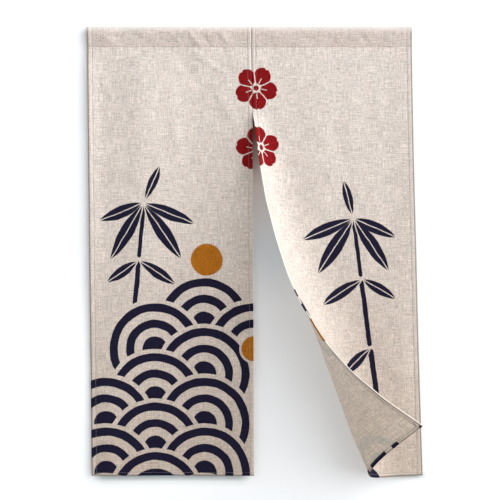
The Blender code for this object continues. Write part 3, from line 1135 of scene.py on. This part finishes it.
def opaque(colour):
    """A colour as a node socket takes it."""
    return (*colour, 1.0)


def shaded(colour, by):
    """A colour whose parts are multiplied by a tint's."""
    return tuple(channel * share for channel, share in zip(colour, by))


def grey(web, tone):
    """The same number in all three parts of a colour."""
    made = web.node("ShaderNodeCombineColor")
    for socket in made.inputs[:3]:
        web.feed(socket, tone)
    return made.outputs[0]


def cloth_material(name, printed):
    """Linen with its print: full ink on the face, a pale shadow of it on the reverse."""
    if name in bpy.data.materials:
        return bpy.data.materials[name]
    noren = bpy.context.scene.noren
    material = bpy.data.materials.new(name)
    material.use_nodes = True
    web = Web(material.node_tree)
    shader = material.node_tree.nodes["Principled BSDF"]
    flat = web.node("ShaderNodeUVMap", uv_map="flat_cloth").outputs[0]
    weave = use_group(web, linen_group(), flat).outputs
    inks = use_group(web, print_group(), flat).outputs
    sewing = use_group(web, sewing_group(), flat).outputs

    base = noren.linen if printed else noren.reverse_linen
    # Painted shade, darker and warmer towards the bottom hem
    cloth = web.colour(sewing["low"], opaque(base), opaque(shaded(base, noren.lower_painted_shade)))
    # Painted shade on the downward-leaning rod pocket, with the doubled cloth's tone
    cloth = web.colour(sewing["pocket"], cloth, opaque(shaded(base, noren.pocket_painted_shade)))
    cloth = web.colour(1.0, cloth, grey(web, weave["tone"]), blend="MULTIPLY")
    hue = web.colour(weave["warmth"], opaque(COOL_YARN), opaque(WARM_YARN))
    cloth = web.colour(1.0, cloth, hue, blend="MULTIPLY")
    cloth = web.colour(web.math("MULTIPLY", sewing["hem"], HEM_TINT_SHARE), cloth, opaque(HEM_TINT))

    highlit, fold_shadow = [
        web.node("ShaderNodeAttribute", attribute_name=label).outputs["Fac"]
        for label in ("highlit", "fold_shadow")
    ]
    # Painted shade along the stitch grooves, the rolled outer and bottom edges and the seam, and painted
    # shadow under the reverse's inner fold
    shade_share = web.math("MULTIPLY", sewing["sewn"], STITCH_LINE_SHARE)
    shade_share = web.math("MAXIMUM", shade_share, web.math("MULTIPLY", sewing["border"], BORDER_SHARE))
    shade_share = web.math("MAXIMUM", shade_share, web.math("MULTIPLY", sewing["fold"], fold_shadow))
    cloth = web.colour(shade_share, cloth, opaque(noren.painted_shade_colour))
    # Painted highlight: the inner edges and the cloth over the rod are lightened where light catches them
    cloth = web.colour(highlit, cloth, opaque(noren.edge_highlight_colour))
    cloth = web.colour(web.math("MULTIPLY", weave["fleck"], FLECK_SHARE), cloth, opaque(noren.fleck))
    if printed:
        worn = web.math("MULTIPLY_ADD", web.math("SUBTRACT", weave["tone"], 1.0), INK_WEAR, 1.0)
        worn = grey(web, worn)
        for label, ink in (("navy", noren.navy), ("ochre", noren.ochre), ("red", noren.red)):
            dyed = web.colour(1.0, opaque(ink), worn, blend="MULTIPLY")
            cloth = web.colour(web.math("MULTIPLY", inks[label], noren.ink_cover), cloth, dyed)
    else:
        ghosts = (("navy", noren.navy_ghost), ("ochre", noren.ochre_ghost), ("red", noren.red_ghost))
        for label, ghost in ghosts:
            share = web.math("MULTIPLY", inks[label], noren.ghost_strength)
            cloth = web.colour(share, cloth, opaque(ghost))
    web.feed(shader.inputs["Base Color"], cloth)

    rough = web.math("MULTIPLY_ADD", weave["height"], YARN_GLOSS, CLOTH_ROUGHNESS)
    web.feed(shader.inputs["Roughness"], rough)
    bump = web.node("ShaderNodeBump")
    bump.inputs["Strength"].default_value = WEAVE_STRENGTH
    bump.inputs["Distance"].default_value = noren.yarn_relief
    web.feed(bump.inputs["Height"], weave["height"])
    web.feed(shader.inputs["Normal"], bump.outputs[0])
    shader.inputs["Specular IOR Level"].default_value = CLOTH_SPECULAR
    shader.inputs["Sheen Weight"].default_value = CLOTH_SHEEN
    shader.inputs["Sheen Roughness"].default_value = CLOTH_SHEEN_ROUGHNESS
    return material


def thread_material(name, colour):
    """Twisted sewing thread."""
    if name in bpy.data.materials:
        return bpy.data.materials[name]
    material = bpy.data.materials.new(name)
    material.use_nodes = True
    web = Web(material.node_tree)
    shader = material.node_tree.nodes["Principled BSDF"]
    where = web.node("ShaderNodeTexCoord").outputs["Object"]
    twist = web.noise(where, TWIST_SCALE, detail=1.0)
    light = tuple(min(1.0, channel * THREAD_LIGHT) for channel in colour)
    dark = tuple(channel * THREAD_DARK for channel in colour)
    web.feed(shader.inputs["Base Color"], web.colour(twist, opaque(dark), opaque(light)))
    web.feed(shader.inputs["Roughness"], web.math("MULTIPLY_ADD", twist, TWIST_ROUGHNESS, THREAD_ROUGHNESS))
    shader.inputs["Specular IOR Level"].default_value = THREAD_SPECULAR
    shader.inputs["Sheen Weight"].default_value = THREAD_SHEEN
    return material


def shade_ramp(web, distance, shades):
    """A smooth tint, read from a table of distances and tints that ends in white."""
    start, end = shades[0][0], shades[-1][0]
    ramp = web.node("ShaderNodeValToRGB")
    web.feed(ramp.inputs[0], web.math("DIVIDE", web.math("SUBTRACT", distance, start), end - start))
    stops = ramp.color_ramp.elements
    for index, (place, tint) in enumerate(shades):
        place = (place - start) / (end - start)
        stop = stops[0] if index == 0 else stops.new(place)
        stop.position = place
        stop.color = opaque(tint)
    stops.remove(stops[len(stops) - 1])
    return ramp.outputs[0]


def wall_shadow(web, paint, across, middle, half_width, softness, tint):
    """Tint the wall's paint in a strip round one place across it."""
    off_middle = web.math("ABSOLUTE", web.math("SUBTRACT", across, middle))
    strip = web.inked(web.math("SUBTRACT", off_middle, half_width), softness)
    return web.colour(1.0, paint, web.colour(strip, opaque((1.0, 1.0, 1.0)), tint), blend="MULTIPLY")


def shaded_paint(web, where, paint):
    """Wall paint, darker where little light gets behind the cloth: in the slit and under the hems."""
    split = web.node("ShaderNodeSeparateXYZ")
    web.feed(split.inputs[0], where)
    across, down = split.outputs[0], web.math("MULTIPLY", split.outputs[2], -1.0)
    paint = wall_shadow(web, paint, across, SLIT_SHADOW_MIDDLE, SLIT_SHADOW_HALF_WIDTH, SLIT_SHADOW_EDGE,
                        shade_ramp(web, down, SLIT_SHADE))
    below = web.math("SUBTRACT", down, HEIGHT)
    for shadow in HEM_SHADOWS:
        tint = shade_ramp(web, web.math("DIVIDE", below, shadow.height), HEM_SHADE)
        paint = wall_shadow(web, paint, across, shadow.middle, shadow.half_width, HEM_SHADOW_EDGE, tint)
    return paint


def wall_material(name, colour, one_sided):
    """Matt paint. A one-sided wall can't be seen from behind, and has the curtain's shadows."""
    material = bpy.data.materials.new(name)
    material.use_nodes = True
    web = Web(material.node_tree)
    shader = material.node_tree.nodes["Principled BSDF"]
    where = web.node("ShaderNodeTexCoord").outputs["Object"]
    darker = tuple(channel * DARKER_PAINT for channel in colour)
    paint = web.colour(web.noise(where, PAINT_MOTTLE), opaque(darker), opaque(colour))
    shader.inputs["Roughness"].default_value = PAINT_ROUGHNESS
    shader.inputs["Specular IOR Level"].default_value = PAINT_SPECULAR
    if one_sided:
        paint = shaded_paint(web, where, paint)
        choice = web.node("ShaderNodeMixShader")
        web.feed(choice.inputs[0], web.node("ShaderNodeNewGeometry").outputs["Backfacing"])
        web.feed(choice.inputs[1], shader.outputs[0])
        web.feed(choice.inputs[2], web.node("ShaderNodeBsdfTransparent").outputs[0])
        web.feed(material.node_tree.nodes["Material Output"].inputs["Surface"], choice.outputs[0])
    web.feed(shader.inputs["Base Color"], paint)
    return material


# Thread work


def stitch_shapes(middles, lengthways, normals, length, radius):
    """Points and faces of many stitches: four-sided threads with sunk, pointed ends.

    Each stitch has a point at its tip, two rings of four, and a point at its other tip.
    """
    lengthways = lengthways / np.linalg.norm(lengthways, axis=1, keepdims=True)
    sideways = np.cross(lengthways, normals)
    sideways /= np.linalg.norm(sideways, axis=1, keepdims=True)
    upward = np.cross(sideways, lengthways)
    points = []
    for along, size, sink in STITCH_PROFILE:
        centre = middles + lengthways * (along * length) + upward * (sink * radius)
        if size == 0.0:
            points.append(centre)
            continue
        for quarter in range(4):
            angle = 0.25 * pi + 0.5 * pi * quarter
            points.append(centre + (sideways * cos(angle) + upward * sin(angle)) * radius)
    points = np.stack(points, axis=1)
    corners, count = points.shape[1], len(points)
    start_tip, first_ring, second_ring, end_tip = 0, 1, 5, corners - 1
    turns = [(quarter, (quarter + 1) % 4) for quarter in range(4)]
    starts = [(start_tip, first_ring + later, first_ring + turn) for turn, later in turns]
    ends = [(end_tip, second_ring + turn, second_ring + later) for turn, later in turns]
    sides = [(first_ring + turn, first_ring + later, second_ring + later, second_ring + turn)
             for turn, later in turns]
    pattern = starts + ends + sides
    faces = [[corner + corners * stitch for corner in face] for stitch in range(count) for face in pattern]
    return points.reshape(-1, 3), faces


def stitched_line(cloth, distances, downs, behind):
    """Stitches at even steps along a line drawn on the cloth, on its front or its back."""
    grid = cloth.back if behind else cloth.front
    way = -1.0 if behind else 1.0
    distances = np.linspace(*distances, LINE_POINTS)
    downs = np.linspace(*downs, LINE_POINTS)
    line = cloth.sample(grid, distances, downs)
    run = np.concatenate([[0.0], np.cumsum(np.linalg.norm(np.diff(line, axis=0), axis=1))])
    count = int(run[-1] / STITCH_PITCH)
    stops = (np.arange(count) + 0.5) * run[-1] / count
    middle_distance = np.interp(stops, run, distances)
    middle_down = np.interp(stops, run, downs)
    normals = cloth.sample(cloth.normals, middle_distance, middle_down) * way
    ahead = np.minimum(stops + 0.5 * STITCH_LENGTH, run[-1])
    before = np.maximum(stops - 0.5 * STITCH_LENGTH, 0.0)
    end = np.column_stack([np.interp(ahead, run, line[:, axis]) for axis in range(3)])
    start = np.column_stack([np.interp(before, run, line[:, axis]) for axis in range(3)])
    middles = 0.5 * (start + end) + normals * STITCH_LIFT
    return stitch_shapes(middles, end - start, normals, STITCH_LENGTH, THREAD_RADIUS)


def joined_mesh(name, parts):
    """One mesh from several lists of points and faces."""
    points, faces, used = [], [], 0
    for part_points, part_faces in parts:
        points.extend(np.asarray(part_points).tolist())
        faces.extend([[corner + used for corner in face] for face in part_faces])
        used += len(part_points)
    mesh = bpy.data.meshes.new(name)
    mesh.from_pydata(points, [], faces)
    builder = bmesh.new()
    builder.from_mesh(mesh)
    bmesh.ops.recalc_face_normals(builder, faces=builder.faces)
    builder.to_mesh(mesh)
    builder.free()
    mesh.shade_smooth()
    return mesh


def add_piece(name, mesh, materials):
    """Put a mesh into the scene as one piece."""
    piece = bpy.data.objects.new(name, mesh)
    for material in materials:
        piece.data.materials.append(material)
    bpy.context.scene.collection.objects.link(piece)
    return piece


def hem_lines(cloth):
    """The machine stitching of one panel, on both of its faces."""
    first = cloth.first_hem - STITCH_INSET
    last = cloth.width - cloth.last_hem + STITCH_INSET
    bottom = HEIGHT - BOTTOM_HEM + STITCH_INSET
    top = cloth.downs[0] + STITCH_TOP_INSET
    parts = []
    for behind in (False, True):
        for side in (first, last):
            start = POCKET_HEIGHT + POCKET_TURN_IN if behind else top
            parts.append(stitched_line(cloth, (side, side), (start, HEIGHT - STITCH_END), behind))
        parts.append(stitched_line(cloth, (STITCH_END, cloth.width - STITCH_END), (bottom, bottom), behind))
    across_pocket = (POCKET_STITCH_END, cloth.width - POCKET_STITCH_END)
    tail = POCKET_HEIGHT - 2.0 * POCKET_LEAN - POCKET_ROUND
    for down in (POCKET_HEIGHT, tail):
        parts.append(stitched_line(cloth, across_pocket, (down, down), False))
    return parts


def stitches_on_seam(downs, y, way, lengthways, length, radius):
    """Stitches that cross the seam, on the front (way -1) or on the back (way 1)."""
    middles = np.array([(seam(down), y, -down) for down in downs])
    lengthways = np.tile(lengthways, (len(downs), 1))
    normals = np.tile((0.0, way, 0.0), (len(downs), 1))
    return stitch_shapes(middles, lengthways, normals, length, radius)


def seam_stitches():
    """Slanting stitches that join the two edges, in front and behind."""
    downs = np.arange(POCKET_HEIGHT + SEAM_STITCH_START, SLIT_TOP - TACK_HEIGHT, SEAM_STITCH_PITCH)
    sunk = -SOLID_CLOTH + SEAM_DIP
    parts = []
    for way, y in ((-1.0, sunk - SEAM_STITCH_FRONT), (1.0, sunk + SEAM_STITCH_BACK)):
        lengthways = (2.0 * SEAM_STITCH_REACH, 0.0, -SEAM_STITCH_SLANT * way)
        parts.append(stitches_on_seam(downs, y, way, lengthways, SEAM_STITCH_LENGTH, THREAD_RADIUS))
    return parts


def slit_tack():
    """The close bar of stitches that stops the slit from tearing upwards."""
    downs = np.linspace(SLIT_TOP - TACK_HEIGHT, SLIT_TOP - TACK_END, TACK_STITCHES)
    parts = []
    for way, y in ((-1.0, -SOLID_CLOTH + TACK_FRONT), (1.0, -SOLID_CLOTH + TACK_BACK)):
        lengthways = (1.0, 0.0, TACK_SLANT)
        parts.append(stitches_on_seam(downs, y, way, lengthways, TACK_LENGTH, TACK_THREAD * THREAD_RADIUS))
    return parts


def knot_tube(centre):
    """A three-lobed knot of thread, as a closed tube."""
    rings, sides = KNOT_RINGS, KNOT_SIDES
    angles = np.linspace(0.0, 2.0 * pi, rings, endpoint=False)
    x = (np.sin(angles) + 2.0 * np.sin(2.0 * angles)) / 3.0
    y = (np.cos(angles) - 2.0 * np.cos(2.0 * angles)) / 3.0
    z = -np.sin(3.0 * angles) * KNOT_DEPTH
    path = np.column_stack([x, z, y]) * KNOT_RADIUS + centre
    forward = np.roll(path, -1, axis=0) - np.roll(path, 1, axis=0)
    forward /= np.linalg.norm(forward, axis=1, keepdims=True)
    aside = np.cross(forward, (0.0, 1.0, 0.0))
    aside /= np.linalg.norm(aside, axis=1, keepdims=True)
    upward = np.cross(aside, forward)
    points = []
    for side in range(sides):
        angle = 2.0 * pi * side / sides
        points.append(path + (aside * cos(angle) + upward * sin(angle)) * KNOT_THREAD)
    points = np.stack(points, axis=1).reshape(-1, 3)
    faces = []
    for ring in range(rings):
        here, ahead = ring * sides, (ring + 1) % rings * sides
        for side in range(sides):
            beside = (side + 1) % sides
            faces.append([here + side, here + beside, ahead + beside, ahead + side])
    return points, faces


# Sizes and colours that a user may change


class NorenSettings(bpy.types.PropertyGroup):
    """The cloth's thickness, weave and creases, and the colours of cloth, inks and threads"""
    cloth_thickness: FloatProperty(
        name="Cloth thickness", description="Thickness of the plain cloth",
        default=0.0008, min=0.0003, max=0.002, unit="LENGTH")
    hem_thickness: FloatProperty(
        name="Hem thickness", description="Thickness of the folded and stitched hems",
        default=0.0024, min=0.001, max=0.004, unit="LENGTH")
    crease_strength: FloatProperty(
        name="Creases", description="How strongly storage folds and creases show",
        default=1.0, min=0.0, max=3.0)
    yarn_pitch: FloatProperty(
        name="Yarn pitch", description="Distance from one yarn to the next",
        default=0.00085, min=0.0003, max=0.003, unit="LENGTH")
    yarn_relief: FloatProperty(
        name="Yarn relief", description="Height of the yarns in the weave",
        default=0.00035, min=0.0, max=0.001, unit="LENGTH")
    linen: FloatVectorProperty(
        name="Linen", description="Colour of the cloth's face",
        default=(0.655, 0.583, 0.529), size=3, min=0.0, max=1.0, subtype="COLOR")
    reverse_linen: FloatVectorProperty(
        name="Reverse", description="Colour of the cloth's back",
        default=(0.765, 0.692, 0.630), size=3, min=0.0, max=1.0, subtype="COLOR")
    fleck: FloatVectorProperty(
        name="Flecks", description="Colour of the flax flecks in the yarn",
        default=(0.33, 0.27, 0.21), size=3, min=0.0, max=1.0, subtype="COLOR")
    navy: FloatVectorProperty(
        name="Navy ink", description="Colour of the bold print",
        default=(0.0075, 0.0068, 0.024), size=3, min=0.0, max=1.0, subtype="COLOR")
    red: FloatVectorProperty(
        name="Red ink", description="Colour of the blossoms",
        default=(0.205, 0.0020, 0.0045), size=3, min=0.0, max=1.0, subtype="COLOR")
    ochre: FloatVectorProperty(
        name="Ochre ink", description="Colour of the moon and the wave's heart",
        default=(0.375, 0.125, 0.008), size=3, min=0.0, max=1.0, subtype="COLOR")
    navy_ghost: FloatVectorProperty(
        name="Navy show-through", description="Colour of the navy ink seen from behind",
        default=(0.36, 0.40, 0.37), size=3, min=0.0, max=1.0, subtype="COLOR")
    ochre_ghost: FloatVectorProperty(
        name="Ochre show-through", description="Colour of the ochre ink seen from behind",
        default=(0.60, 0.45, 0.27), size=3, min=0.0, max=1.0, subtype="COLOR")
    red_ghost: FloatVectorProperty(
        name="Red show-through", description="Colour of the red ink seen from behind",
        default=(0.56, 0.36, 0.32), size=3, min=0.0, max=1.0, subtype="COLOR")
    ghost_strength: FloatProperty(
        name="Show-through", description="How much of the print shows on the reverse",
        default=0.34, min=0.0, max=1.0)
    # Painted shade: the cloth darkens and warms towards the bottom hem, where less light falls
    lower_painted_shade: FloatVectorProperty(
        name="Lower tint", description="How the cloth's colour changes towards the bottom hem",
        default=(0.760, 0.710, 0.660), size=3, min=0.0, max=1.0, subtype="COLOR")
    # Painted shade on the rod pocket, which leans forward and faces a little downwards, together with the
    # doubled cloth's tone
    pocket_painted_shade: FloatVectorProperty(
        name="Pocket tint", description="How the doubled cloth of the rod pocket differs in colour",
        default=(0.900, 0.870, 0.865), size=3, min=0.0, max=1.0, subtype="COLOR")
    # Colour of the painted shade along the stitch grooves, rolled edges and seam, and of the painted shadow
    # under the inner fold
    painted_shade_colour: FloatVectorProperty(
        name="Stitch lines", description="Colour that the cloth takes along its stitch lines",
        default=(0.20, 0.155, 0.125), size=3, min=0.0, max=1.0, subtype="COLOR")
    # Colour of the painted highlight on the inner edges and over the rod
    edge_highlight_colour: FloatVectorProperty(
        name="Folded edges", description="Colour of the rubbed inner edges of the panels",
        default=(0.93, 0.885, 0.825), size=3, min=0.0, max=1.0, subtype="COLOR")
    ink_cover: FloatProperty(
        name="Ink cover", description="How much of the cloth the ink hides",
        default=0.993, min=0.0, max=1.0)
    thread: FloatVectorProperty(
        name="Thread", description="Colour of the sewing thread",
        default=(0.50, 0.44, 0.395), size=3, min=0.0, max=1.0, subtype="COLOR")
    knot: FloatVectorProperty(
        name="Corner knot", description="Colour of the thread that ties the corner",
        default=(0.012, 0.011, 0.013), size=3, min=0.0, max=1.0, subtype="COLOR")


class StageSettings(bpy.types.PropertyGroup):
    """The camera, the lights, the wall and the floor"""
    camera_distance: FloatProperty(
        name="Camera distance", description="From the wall side of the cloth to the camera",
        default=3.0, min=1.0, max=10.0, unit="LENGTH")
    wall_gap: FloatProperty(
        name="Wall gap", description="From the top edge's line to the wall behind it",
        default=0.0105, min=0.009, max=0.5, unit="LENGTH")
    key_power: FloatProperty(
        name="Key light", description="Power of the window light from the right",
        default=13.0, min=0.0, max=5000.0, unit="POWER")
    sky: FloatProperty(
        name="Room light", description="Strength of the light from all round",
        default=1.0, min=0.0, max=5.0)
    wall_colour: FloatVectorProperty(
        name="Wall", description="Colour of the wall",
        default=(0.950, 0.972, 0.995), size=3, min=0.0, max=1.0, subtype="COLOR")
    floor_colour: FloatVectorProperty(
        name="Floor", description="Colour of the floor",
        default=(0.70, 0.655, 0.60), size=3, min=0.0, max=1.0, subtype="COLOR")


# Operators


CLOTHS = {}


def hung_cloth(side):
    """The panel's shape, worked out once."""
    if side not in CLOTHS:
        CLOTHS[side] = Cloth(side, bpy.context.scene.noren)
    return CLOTHS[side]


class NOREN_OT_hang_panels(bpy.types.Operator):
    """Hang both printed panels, each with its hems and its half of the rod pocket"""
    bl_idname = "noren.hang_panels"
    bl_label = "Hang panels"

    def execute(self, context):
        face = cloth_material("printed_linen", printed=True)
        reverse = cloth_material("linen_reverse", printed=False)
        for side in ("left", "right"):
            cloth = hung_cloth(side)
            name = side + "_cloth"
            piece = add_piece(name, cloth_mesh(cloth, name), [face, reverse])
            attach(piece, "root")
            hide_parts(side + "_panel", side + "_sleeve")
        return {"FINISHED"}


class NOREN_OT_sew_hems(bpy.types.Operator):
    """Sew the hems and the rod pocket of both panels"""
    bl_idname = "noren.sew_hems"
    bl_label = "Sew hems"

    def execute(self, context):
        thread = thread_material("hem_thread", context.scene.noren.thread)
        for side in ("left", "right"):
            name = side + "_hem_stitching"
            piece = add_piece(name, joined_mesh(name, hem_lines(hung_cloth(side))), [thread])
            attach(piece, "root")
        return {"FINISHED"}


class NOREN_OT_sew_seam(bpy.types.Operator):
    """Sew the panels together above the slit and tack the slit's top"""
    bl_idname = "noren.sew_seam"
    bl_label = "Sew seam"

    def execute(self, context):
        thread = thread_material("seam_thread", context.scene.noren.thread)
        for name, parts in (("seam_stitching", seam_stitches()), ("slit_tack", slit_tack())):
            piece = add_piece(name, joined_mesh(name, parts), [thread])
            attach(piece, "root")
        return {"FINISHED"}


class NOREN_OT_tie_corner(bpy.types.Operator):
    """Knot a dark thread through the corner that is drawn up"""
    bl_idname = "noren.tie_corner"
    bl_label = "Tie corner"

    def execute(self, context):
        cloth = hung_cloth("right")
        distance = np.array([RIGHT_WIDTH - KNOT_INSET])
        down = np.array([HEIGHT - KNOT_INSET])
        behind = cloth.sample(cloth.back, distance, down)[0]
        normal = cloth.sample(cloth.normals, distance, down)[0]
        centre = behind - normal * KNOT_SINK * KNOT_RADIUS
        piece = add_piece("corner_knot", joined_mesh("corner_knot", [knot_tube(centre)]),
                          [thread_material("knot_thread", context.scene.noren.knot)])
        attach(piece, "root")
        return {"FINISHED"}


class NOREN_OT_set_stage(bpy.types.Operator):
    """Set a pale wall and floor, the window's light, the room's light and the camera"""
    bl_idname = "noren.set_stage"
    bl_label = "Set stage"

    def execute(self, context):
        stage = context.scene.noren_stage
        self.set_wall_and_floor(stage)
        self.set_window_light(context.scene, stage)
        self.set_room_light(context.scene, stage)
        self.set_camera(context.scene, stage)
        context.scene.view_settings.view_transform = "Standard"
        return {"FINISHED"}

    def set_wall_and_floor(self, stage):
        """A plain wall behind the cloth and a floor below it."""
        half_width, half_height = 0.5 * WALL_SIZE[0], 0.5 * WALL_SIZE[1]
        middle = PICTURE_CENTRE[1]
        low = max(middle - half_height, FLOOR_LEVEL)
        gap = stage.wall_gap
        wall_points = [(-half_width, gap, low), (half_width, gap, low),
                       (half_width, gap, middle + half_height), (-half_width, gap, middle + half_height)]
        half = 0.5 * FLOOR_SIZE
        floor_points = [(-half, -half, FLOOR_LEVEL), (half, -half, FLOOR_LEVEL),
                        (half, half, FLOOR_LEVEL), (-half, half, FLOOR_LEVEL)]
        surfaces = (("wall", wall_points, stage.wall_colour, True),
                    ("floor", floor_points, stage.floor_colour, False))
        for name, points, colour, one_sided in surfaces:
            mesh = bpy.data.meshes.new(name)
            mesh.from_pydata(points, [], [(0, 1, 2, 3)])
            piece = add_piece(name, mesh, [wall_material(name + "_paint", colour, one_sided)])
            piece.visible_diffuse = not one_sided
            piece.visible_shadow = not one_sided

    def set_window_light(self, scene, stage):
        """One broad lamp at the upper right that shines on the curtain's top."""
        light = bpy.data.lights.new("window", "AREA")
        light.shape = "RECTANGLE"
        light.size = light.size_y = WINDOW_SIZE
        light.spread = radians(WINDOW_SPREAD)
        light.color = WINDOW_COLOUR
        light.energy = stage.key_power
        lamp = bpy.data.objects.new("window", light)
        lamp.location = WINDOW_PLACE
        lamp.rotation_mode = "QUATERNION"
        towards_curtain = -Vector(WINDOW_PLACE)
        lamp.rotation_quaternion = towards_curtain.to_track_quat("-Z", "Y")
        scene.collection.objects.link(lamp)

    def set_room_light(self, scene, stage):
        """Soft light from both sides, about three times as strong from the window's side."""
        world = bpy.data.worlds.new("room")
        world.use_nodes = True
        web = Web(world.node_tree)
        background = world.node_tree.nodes["Background"]
        split = web.node("ShaderNodeSeparateXYZ")
        web.feed(split.inputs[0], web.node("ShaderNodeTexCoord").outputs["Generated"])
        across, back, up = split.outputs
        share = web.math("MULTIPLY_ADD", web.math("MAXIMUM", up, 0.0), CEILING_LIGHT, EVEN_LIGHT)
        share = web.math("MULTIPLY_ADD", web.math("ABSOLUTE", across), SIDE_LIGHT, share)
        share = web.math("MULTIPLY_ADD", across, WINDOW_SIDE_LIGHT, share)
        # The wall keeps off much of the light from behind
        behind = web.math("MULTIPLY", back, BEHIND_SHARPNESS, clamp=True)
        share = web.math("MULTIPLY", share, web.math("MULTIPLY_ADD", behind, -BEHIND_LOSS, 1.0))
        web.feed(background.inputs["Strength"], web.math("MULTIPLY", share, stage.sky))
        background.inputs["Color"].default_value = opaque(ROOM_COLOUR)
        scene.world = world

    def set_camera(self, scene, stage):
        """A level camera in front, whose picture is PICTURE_SIZE wide at the cloth."""
        camera = bpy.data.cameras.new("camera")
        camera.sensor_width = SENSOR_WIDTH
        camera.lens = SENSOR_WIDTH * stage.camera_distance / PICTURE_SIZE
        holder = bpy.data.objects.new("camera", camera)
        across, height = PICTURE_CENTRE
        holder.location = (across, -stage.camera_distance, height)
        holder.rotation_euler = (radians(90.0), 0.0, 0.0)
        scene.collection.objects.link(holder)
        scene.camera = holder


class NOREN_PT_maker(bpy.types.Panel):
    """Steps and settings of the noren"""
    bl_idname = "NOREN_PT_maker"
    bl_label = "Noren"
    bl_space_type = "VIEW_3D"
    bl_region_type = "UI"
    bl_category = "Noren"

    def draw(self, context):
        for operator in OPERATORS:
            self.layout.operator(operator.bl_idname)
        for group in (context.scene.noren, context.scene.noren_stage):
            box = self.layout.box()
            for name in group.bl_rna.properties.keys():
                if name not in {"rna_type", "name"}:
                    box.prop(group, name)


OPERATORS = (
    NOREN_OT_set_stage,
    NOREN_OT_hang_panels,
    NOREN_OT_sew_hems,
    NOREN_OT_sew_seam,
    NOREN_OT_tie_corner,
)
CLASSES = (NorenSettings, StageSettings, *OPERATORS, NOREN_PT_maker)


def register():
    """Add the settings, the operators and the panel to Blender."""
    for cls in CLASSES:
        bpy.utils.register_class(cls)
    bpy.types.Scene.noren = PointerProperty(type=NorenSettings)
    bpy.types.Scene.noren_stage = PointerProperty(type=StageSettings)


def unregister():
    """Take them out again."""
    del bpy.types.Scene.noren_stage
    del bpy.types.Scene.noren
    for cls in reversed(CLASSES):
        bpy.utils.unregister_class(cls)


def main():
    """Build the dressed curtain on its stage."""
    register()
    bpy.ops.noren.set_stage()
    bpy.ops.noren.hang_panels()
    bpy.ops.noren.sew_hems()
    bpy.ops.noren.sew_seam()
    bpy.ops.noren.tie_corner()


if __name__ == "__main__":
    main()
